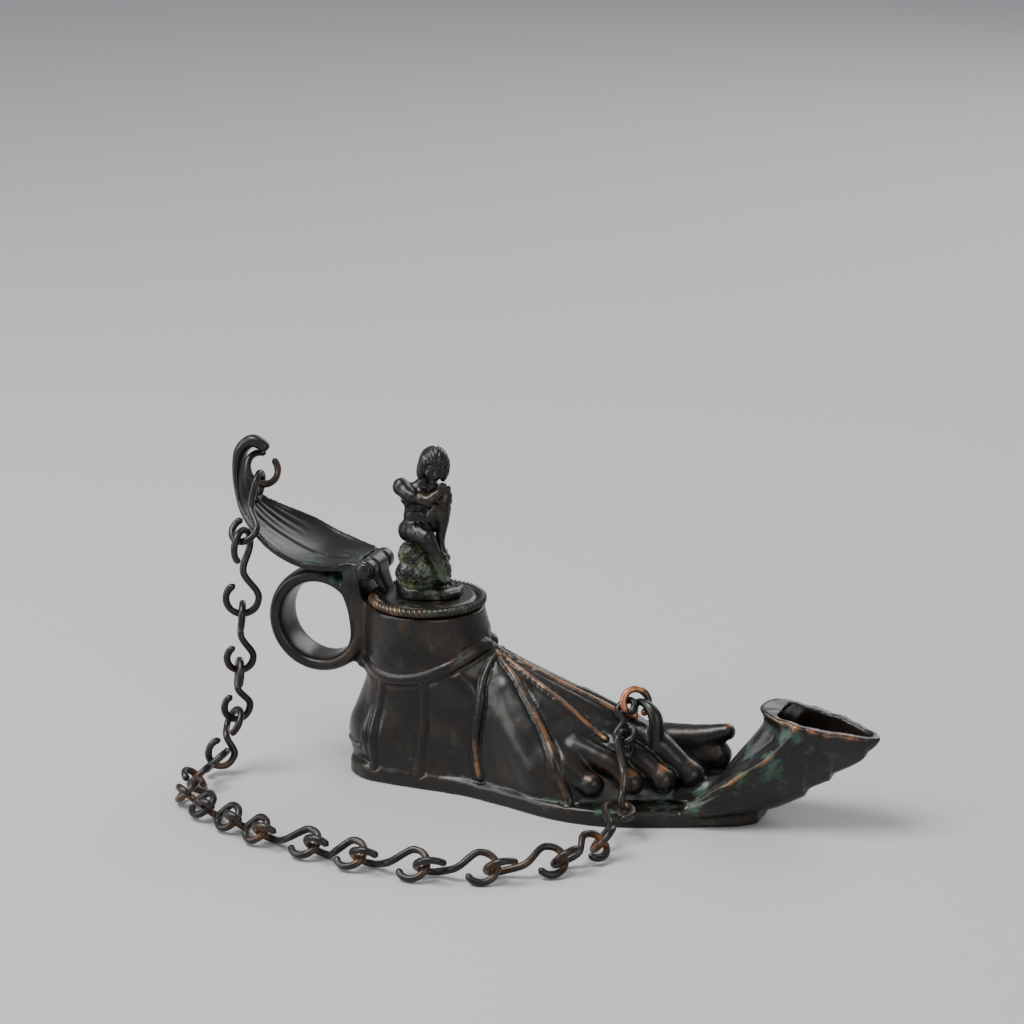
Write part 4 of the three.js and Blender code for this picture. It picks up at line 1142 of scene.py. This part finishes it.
def patina_group():
    """Old bronze: a dark skin mottled with brown, metal worn through where it stands out, and green
    and blue salts where it lies back."""
    colour, number = "NodeSocketColor", "NodeSocketFloat"
    inputs = [(label, colour, (0, 0, 0, 1)) for label in COLOURS]
    inputs += [(label, number, 0.0) for label in (*AMOUNTS, *MARKS)]
    outputs = [("Colour", colour), ("Roughness", number), ("Metallic", number), ("Height", number)]
    tree, given, result = new_group(PATINA, inputs, outputs)
    given, result = given.outputs, result.inputs
    times, plus, minus = (partial(maths, tree, kind) for kind in ("MULTIPLY", "ADD", "SUBTRACT"))
    ramp, mix = partial(between, tree), partial(blend_colour, tree)
    place = add_node(tree, "ShaderNodeTexCoord").outputs["Object"]
    broad = scaled_noise(tree, place, 55, 5.0, 0.62)
    patch = scaled_noise(tree, place, 140, 6.0, 0.68)
    fine = scaled_noise(tree, place, 900, 5.0, 0.7)
    streak = scaled_noise(tree, place, 160, 6.0, 0.75, stretch=(1.2, 1.2, 0.35))

    mottled = times(ramp(broad, 0.42, 0.66), ramp(patch, 0.4, 0.62))
    streaked = times(times(ramp(streak, 0.47, 0.68), given["Streaked"]), ramp(patch, 0.42, 0.6))
    brown = maths(tree, "MAXIMUM", times(mottled, given["Brown amount"]), streaked)
    skin = mix(brown, given["Dark"], given["Brown"])

    # Raised is wear. On the lid's rope it also holds a painted highlight on the side towards the lights, so
    # the bared metal there is partly painted light.
    broken = times(ramp(minus(given["Raised"], 0.28), 0.0, 0.5), ramp(patch, 0.36, 0.58))
    worn = times(broken, given["Wear amount"])
    metal = mix(worn, skin, given["Worn"])

    low = plus(times(given["Salted"], 0.16), plus(times(given["Sunk"], 0.16), patch))
    salts = times(ramp(low, 0.6, 0.76), given["Green amount"])
    tint = mix(ramp(fine, 0.46, 0.58), given["Green"], given["Blue"])
    link(tree, mix(salts, metal, tint), result["Colour"])

    rough = plus(plus(times(fine, 0.2), times(salts, 0.35)), times(patch, 0.08))
    link(tree, plus(rough, 0.17), result["Roughness"])
    link(tree, minus(plus(times(worn, 0.55), 0.3), times(salts, 0.3)), result["Metallic"])
    link(tree, plus(times(fine, 0.5), times(patch, 0.5)), result["Height"])
    return tree


def bronze(name, group, settings):
    """A material of old bronze: the group with this piece's colours and amounts, and the marks read
    from its points."""
    material = bpy.data.materials.new(name)
    material.use_nodes = True
    tree = material.node_tree
    shader = tree.nodes["Principled BSDF"]
    patina = add_node(tree, "ShaderNodeGroup", node_tree=group)
    for label, value in settings.items():
        patina.inputs[label].default_value = value
    for label in MARKS:
        attribute = add_node(tree, "ShaderNodeAttribute", attribute_name=label.lower())
        link(tree, attribute.outputs["Fac"], patina.inputs[label])
    for label, target in (("Colour", "Base Color"), ("Roughness", "Roughness"), ("Metallic", "Metallic")):
        link(tree, patina.outputs[label], shader.inputs[target])
    lift = add_node(tree, "ShaderNodeBump")
    lift.inputs["Strength"].default_value = BUMP_STRENGTH
    lift.inputs["Distance"].default_value = BUMP_HEIGHT
    link(tree, patina.outputs["Height"], lift.inputs["Height"])
    link(tree, lift.outputs["Normal"], shader.inputs["Normal"])
    return material


def finish_of(context, kind):
    """The named bronze, made the first time it is asked for."""
    look = context.scene.lamp_look
    name, *amounts = FINISHES[kind]
    if name in bpy.data.materials:
        return bpy.data.materials[name]
    worn = look.copper if kind == "ring" else look.worn
    green = look.olive if kind == "figure" else look.green
    colours = [(*colour, 1) for colour in (look.dark, look.brown, worn, green, look.blue)]
    group = bpy.data.node_groups.get(PATINA) or patina_group()
    return bronze(name, group, dict(zip(COLOURS + AMOUNTS, colours + amounts)))


# ---- the add-on -----------------------------------------------------------------------------------
class LampForm(bpy.types.PropertyGroup):
    """Sizes of the lamp's finer shapes."""

    sculpt_step: bpy.props.FloatProperty(
        name="Sculpting step", description="Distance between samples of the casting, in millimetres",
        default=0.5,
    )
    figure_step: bpy.props.FloatProperty(
        name="Figure step", description="Distance between samples of the figure, in millimetres", default=0.24
    )
    body_faces: bpy.props.IntProperty(
        name="Casting triangles", description="Most triangles in the lamp's casting", default=190000
    )
    figure_faces: bpy.props.IntProperty(
        name="Figure triangles", description="Most triangles in the seated figure", default=150000
    )


def colour_setting(name, description, default):
    """A setting that holds a colour."""
    return bpy.props.FloatVectorProperty(name=name, description=description, subtype="COLOR", default=default)


class LampLook(bpy.types.PropertyGroup):
    """Colours of the bronze."""

    dark: colour_setting("Dark skin", "The patina's main colour", (0.0095, 0.0092, 0.0078))
    brown: colour_setting("Brown", "Brown mottling and streaks", (0.07, 0.034, 0.015))
    worn: colour_setting("Worn metal", "Metal bared where it rubs", (0.38, 0.18, 0.08))
    olive: colour_setting("Olive salts", "Green on the figure's rock", (0.09, 0.095, 0.03))
    copper: colour_setting("Bright copper", "The ring on the lug", (0.5, 0.2, 0.09))
    green: colour_setting("Green salts", "Green in the hollows", (0.025, 0.08, 0.035))
    blue: colour_setting("Blue salts", "Blue-green flecks", (0.03, 0.075, 0.08))


class StageLook(bpy.types.PropertyGroup):
    """The floor, the lights and the camera."""

    azimuth: bpy.props.FloatProperty(
        name="Camera azimuth", description="Turn of the camera round the lamp",
        subtype="ANGLE", default=math.radians(21),
    )
    pitch: bpy.props.FloatProperty(
        name="Camera pitch", description="How far the camera looks down",
        subtype="ANGLE", default=math.radians(16),
    )
    distance: bpy.props.FloatProperty(
        name="Camera distance", description="From the camera to what it looks at", unit="LENGTH", default=1.15
    )
    lens: bpy.props.FloatProperty(name="Lens", description="Focal length", unit="CAMERA", default=134.8)
    floor: colour_setting("Floor", "Colour of the floor", (0.46, 0.455, 0.46))


class LAMP_OT_stage(bpy.types.Operator):
    """Lay the floor, hang the lights and set the camera"""

    bl_idname = "foot_lamp.stage"
    bl_label = "Stage"

    def execute(self, context):
        look = context.scene.lamp_stage
        bpy.ops.mesh.primitive_plane_add(size=12)
        floor = context.object
        floor.name = "floor"
        paint = bpy.data.materials.new("Pale floor")
        paint.use_nodes = True
        shader = paint.node_tree.nodes["Principled BSDF"]
        shader.inputs["Base Color"].default_value = (*look.floor, 1)
        shader.inputs["Roughness"].default_value = 0.85
        floor.data.materials.append(paint)

        world = bpy.data.worlds.new("Studio")
        context.scene.world = world
        world.use_nodes = True
        sky = world.node_tree.nodes["Background"]
        sky.inputs["Color"].default_value = (0.9, 0.93, 1.0, 1)
        sky.inputs["Strength"].default_value = 0.42
        aim = Vector((0, 0, 0.03))
        for name, place, size, power in (
            ("Key", (-0.5, -0.4, 1.15), 0.7, 20),
            ("Left", (-1.1, -0.7, 0.45), 0.8, 9),
            ("Fill", (0.9, -0.9, 0.6), 0.8, 5),
            ("Back", (0.2, 1.1, 0.8), 0.9, 8),
        ):
            light = bpy.data.lights.new(name, "AREA")
            light.size = size
            light.energy = power
            lamp = bpy.data.objects.new(name, light)
            lamp.location = place
            lamp.rotation_euler = (aim - Vector(place)).to_track_quat("-Z", "Y").to_euler()
            context.scene.collection.objects.link(lamp)

        back = Vector((
            math.sin(look.azimuth) * math.cos(look.pitch),
            -math.cos(look.azimuth) * math.cos(look.pitch),
            math.sin(look.pitch),
        ))
        camera = bpy.data.objects.new("Camera", bpy.data.cameras.new("Camera"))
        camera.data.lens = look.lens
        camera.data.clip_start = 0.05
        camera.location = Vector((-0.024, 0.0157, 0.081)) + back * look.distance
        camera.rotation_euler = (-back).to_track_quat("-Z", "Y").to_euler()
        context.scene.collection.objects.link(camera)
        context.scene.camera = camera
        return {"FINISHED"}


def settle(thing, material, body, node):
    """Gives a finished piece its bronze and its place in the frame."""
    thing.data.materials.append(material)
    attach(thing, body)
    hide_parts(node)


class LAMP_OT_casting(bpy.types.Operator):
    """Sculpt the foot, nozzle, handle and leaf as one casting"""

    bl_idname = "foot_lamp.casting"
    bl_label = "Foot casting"

    def execute(self, context):
        form = context.scene.lamp_form
        thing = carve("foot_casting", *lamp_field(form.sculpt_step), form.body_faces, casting_marks)
        settle(thing, finish_of(context, "body"), "lamp", "lamp_body")
        return {"FINISHED"}


class LAMP_OT_lid(bpy.types.Operator):
    """Turn the lid's disc with its rope border and add its hinge tongue"""

    bl_idname = "foot_lamp.lid"
    bl_label = "Lid"

    def execute(self, context):
        points, faces = lid_shell()
        tongue_points, tongue_faces = surface_net(*tongue_field(0.25))
        every = np.vstack([points, tongue_points])
        radius = np.hypot(points[:, 0] - ANKLE_X, points[:, 1])
        # towards runs to the side of the lid that faces the camera and the key and left lights. The rope's
        # bared crest is scaled by it, so besides wear it is a painted highlight on that lit side.
        towards = (points[:, 0] - ANKLE_X) * -0.6 + points[:, 1] * -0.8
        on_rope = radius > LID_RADIUS - 1.3
        from_core = np.hypot(radius - LID_RADIUS, (points[:, 2] - LID_BOTTOM) / ROPE_FLATNESS - ROPE_RADIUS)
        crest = np.clip((from_core - 1.2) / 0.4, 0, 1)
        on_disc = {
            "raised": on_rope * crest * (0.15 + 0.65 * np.clip(towards / 16, 0, 1)),
            "sunk": on_rope * (1 - crest),
            "salted": np.where(radius < LID_RADIUS - 1.3, 0.45, 0),
        }
        marks = {label: np.r_[values, np.zeros(len(tongue_points))] for label, values in on_disc.items()}
        thing = make_object("rope_edged_lid", every, np.vstack([faces, tongue_faces + len(points)]), marks)
        settle(thing, finish_of(context, "body"), "lid", "lid")
        return {"FINISHED"}


class LAMP_OT_figure(bpy.types.Operator):
    """Sculpt the seated figure on its rock"""

    bl_idname = "foot_lamp.figure"
    bl_label = "Seated figure"

    def execute(self, context):
        form = context.scene.lamp_form
        thing = carve("seated_youth", *figure_field(form.figure_step), form.figure_faces, figure_marks)
        moved = figure_place(mesh_points(thing)) * MM
        thing.data.vertices.foreach_set("co", moved.astype(np.float32).ravel())
        thing.data.update()
        settle(thing, finish_of(context, "figure"), "lid", "seated_figure")
        return {"FINISHED"}


class LAMP_OT_pin(bpy.types.Operator):
    """Turn the hinge pin with its two peened ends"""

    bl_idname = "foot_lamp.pin"
    bl_label = "Hinge pin"

    def execute(self, context):
        ends = [(0, -9.7), (1, -9.62), (1.9, -9.4), (2.5, -9.05), (2.6, -8.72), (PIN_RADIUS, -8.7)]
        profile = ends + [(PIN_RADIUS, h) for h in (-4, 0, 4)] + [(r, -h) for r, h in ends[::-1]]
        points, faces = turned(profile, (0, 0), 32)
        along = np.stack([PIN_X + points[:, 0], points[:, 2], PIN_Z - points[:, 1]], axis=1)
        thing = make_object("hinge_rivet", along, faces, {"raised": np.full(len(along), 0.1)})
        settle(thing, finish_of(context, "body"), "lamp", "hinge_pin")
        return {"FINISHED"}


class LAMP_OT_chain(bpy.types.Operator):
    """Bend the chain's links from wire and hook them together"""

    bl_idname = "foot_lamp.chain"
    bl_label = "Chain"

    def execute(self, context):
        paths = [ring_path(*END_RING)]
        paths += [link_path(p, q, *turns) for p, q, turns in zip(HOOKS, HOOKS[1:], TURNS)]
        paths.append(ring_path(*LUG_RING))
        hooks = [(*spot[:3], 2.6) for spot in HOOKS]
        for number, path in enumerate(paths, start=1):
            points, faces = sweep(path, wire_radii(len(path), number), 16)
            rub = nearness(points, hooks)
            last = number == len(paths)
            on_floor = np.clip((14 - points[:, 2]) / 8, 0.25, 1)
            raised = np.clip(0.25 + 0.6 * rub * on_floor + (0.6 if last else 0), 0, 1)
            thing = make_object(f"wire_link_{number:02d}", points, faces, {"raised": raised})
            kind, slot = ("ring", "worn_copper") if last else ("chain", "chain_bronze")
            settle(thing, finish_of(context, kind), "lamp", f"chain_link_{number:02d}")
        return {"FINISHED"}


class LAMP_PT_panel(bpy.types.Panel):
    """The settings, with a button for each piece"""

    bl_label = "Foot Lamp"
    bl_idname = "LAMP_PT_panel"
    bl_space_type = "VIEW_3D"
    bl_region_type = "UI"
    bl_category = "Foot Lamp"

    def draw(self, context):
        for group in (context.scene.lamp_form, context.scene.lamp_look, context.scene.lamp_stage):
            box = self.layout.box()
            for key in group.__annotations__:
                box.prop(group, key)
        for operator in OPERATORS:
            self.layout.operator(operator.bl_idname)


OPERATORS = (LAMP_OT_stage, LAMP_OT_casting, LAMP_OT_lid, LAMP_OT_figure, LAMP_OT_pin, LAMP_OT_chain)
CLASSES = (LampForm, LampLook, StageLook, *OPERATORS, LAMP_PT_panel)


def register():
    """Adds the classes and hangs the settings on the scene."""
    for kind in CLASSES:
        bpy.utils.register_class(kind)
    bpy.types.Scene.lamp_form = bpy.props.PointerProperty(type=LampForm)
    bpy.types.Scene.lamp_look = bpy.props.PointerProperty(type=LampLook)
    bpy.types.Scene.lamp_stage = bpy.props.PointerProperty(type=StageLook)


def unregister():
    """Takes them away again."""
    for name in ("lamp_stage", "lamp_look", "lamp_form"):
        delattr(bpy.types.Scene, name)
    for kind in reversed(CLASSES):
        bpy.utils.unregister_class(kind)


def main():
    """Builds everything."""
    register()
    for step in ("stage", "casting", "lid", "figure", "pin", "chain"):
        getattr(bpy.ops.foot_lamp, step)()


if __name__ == "__main__":
    main()
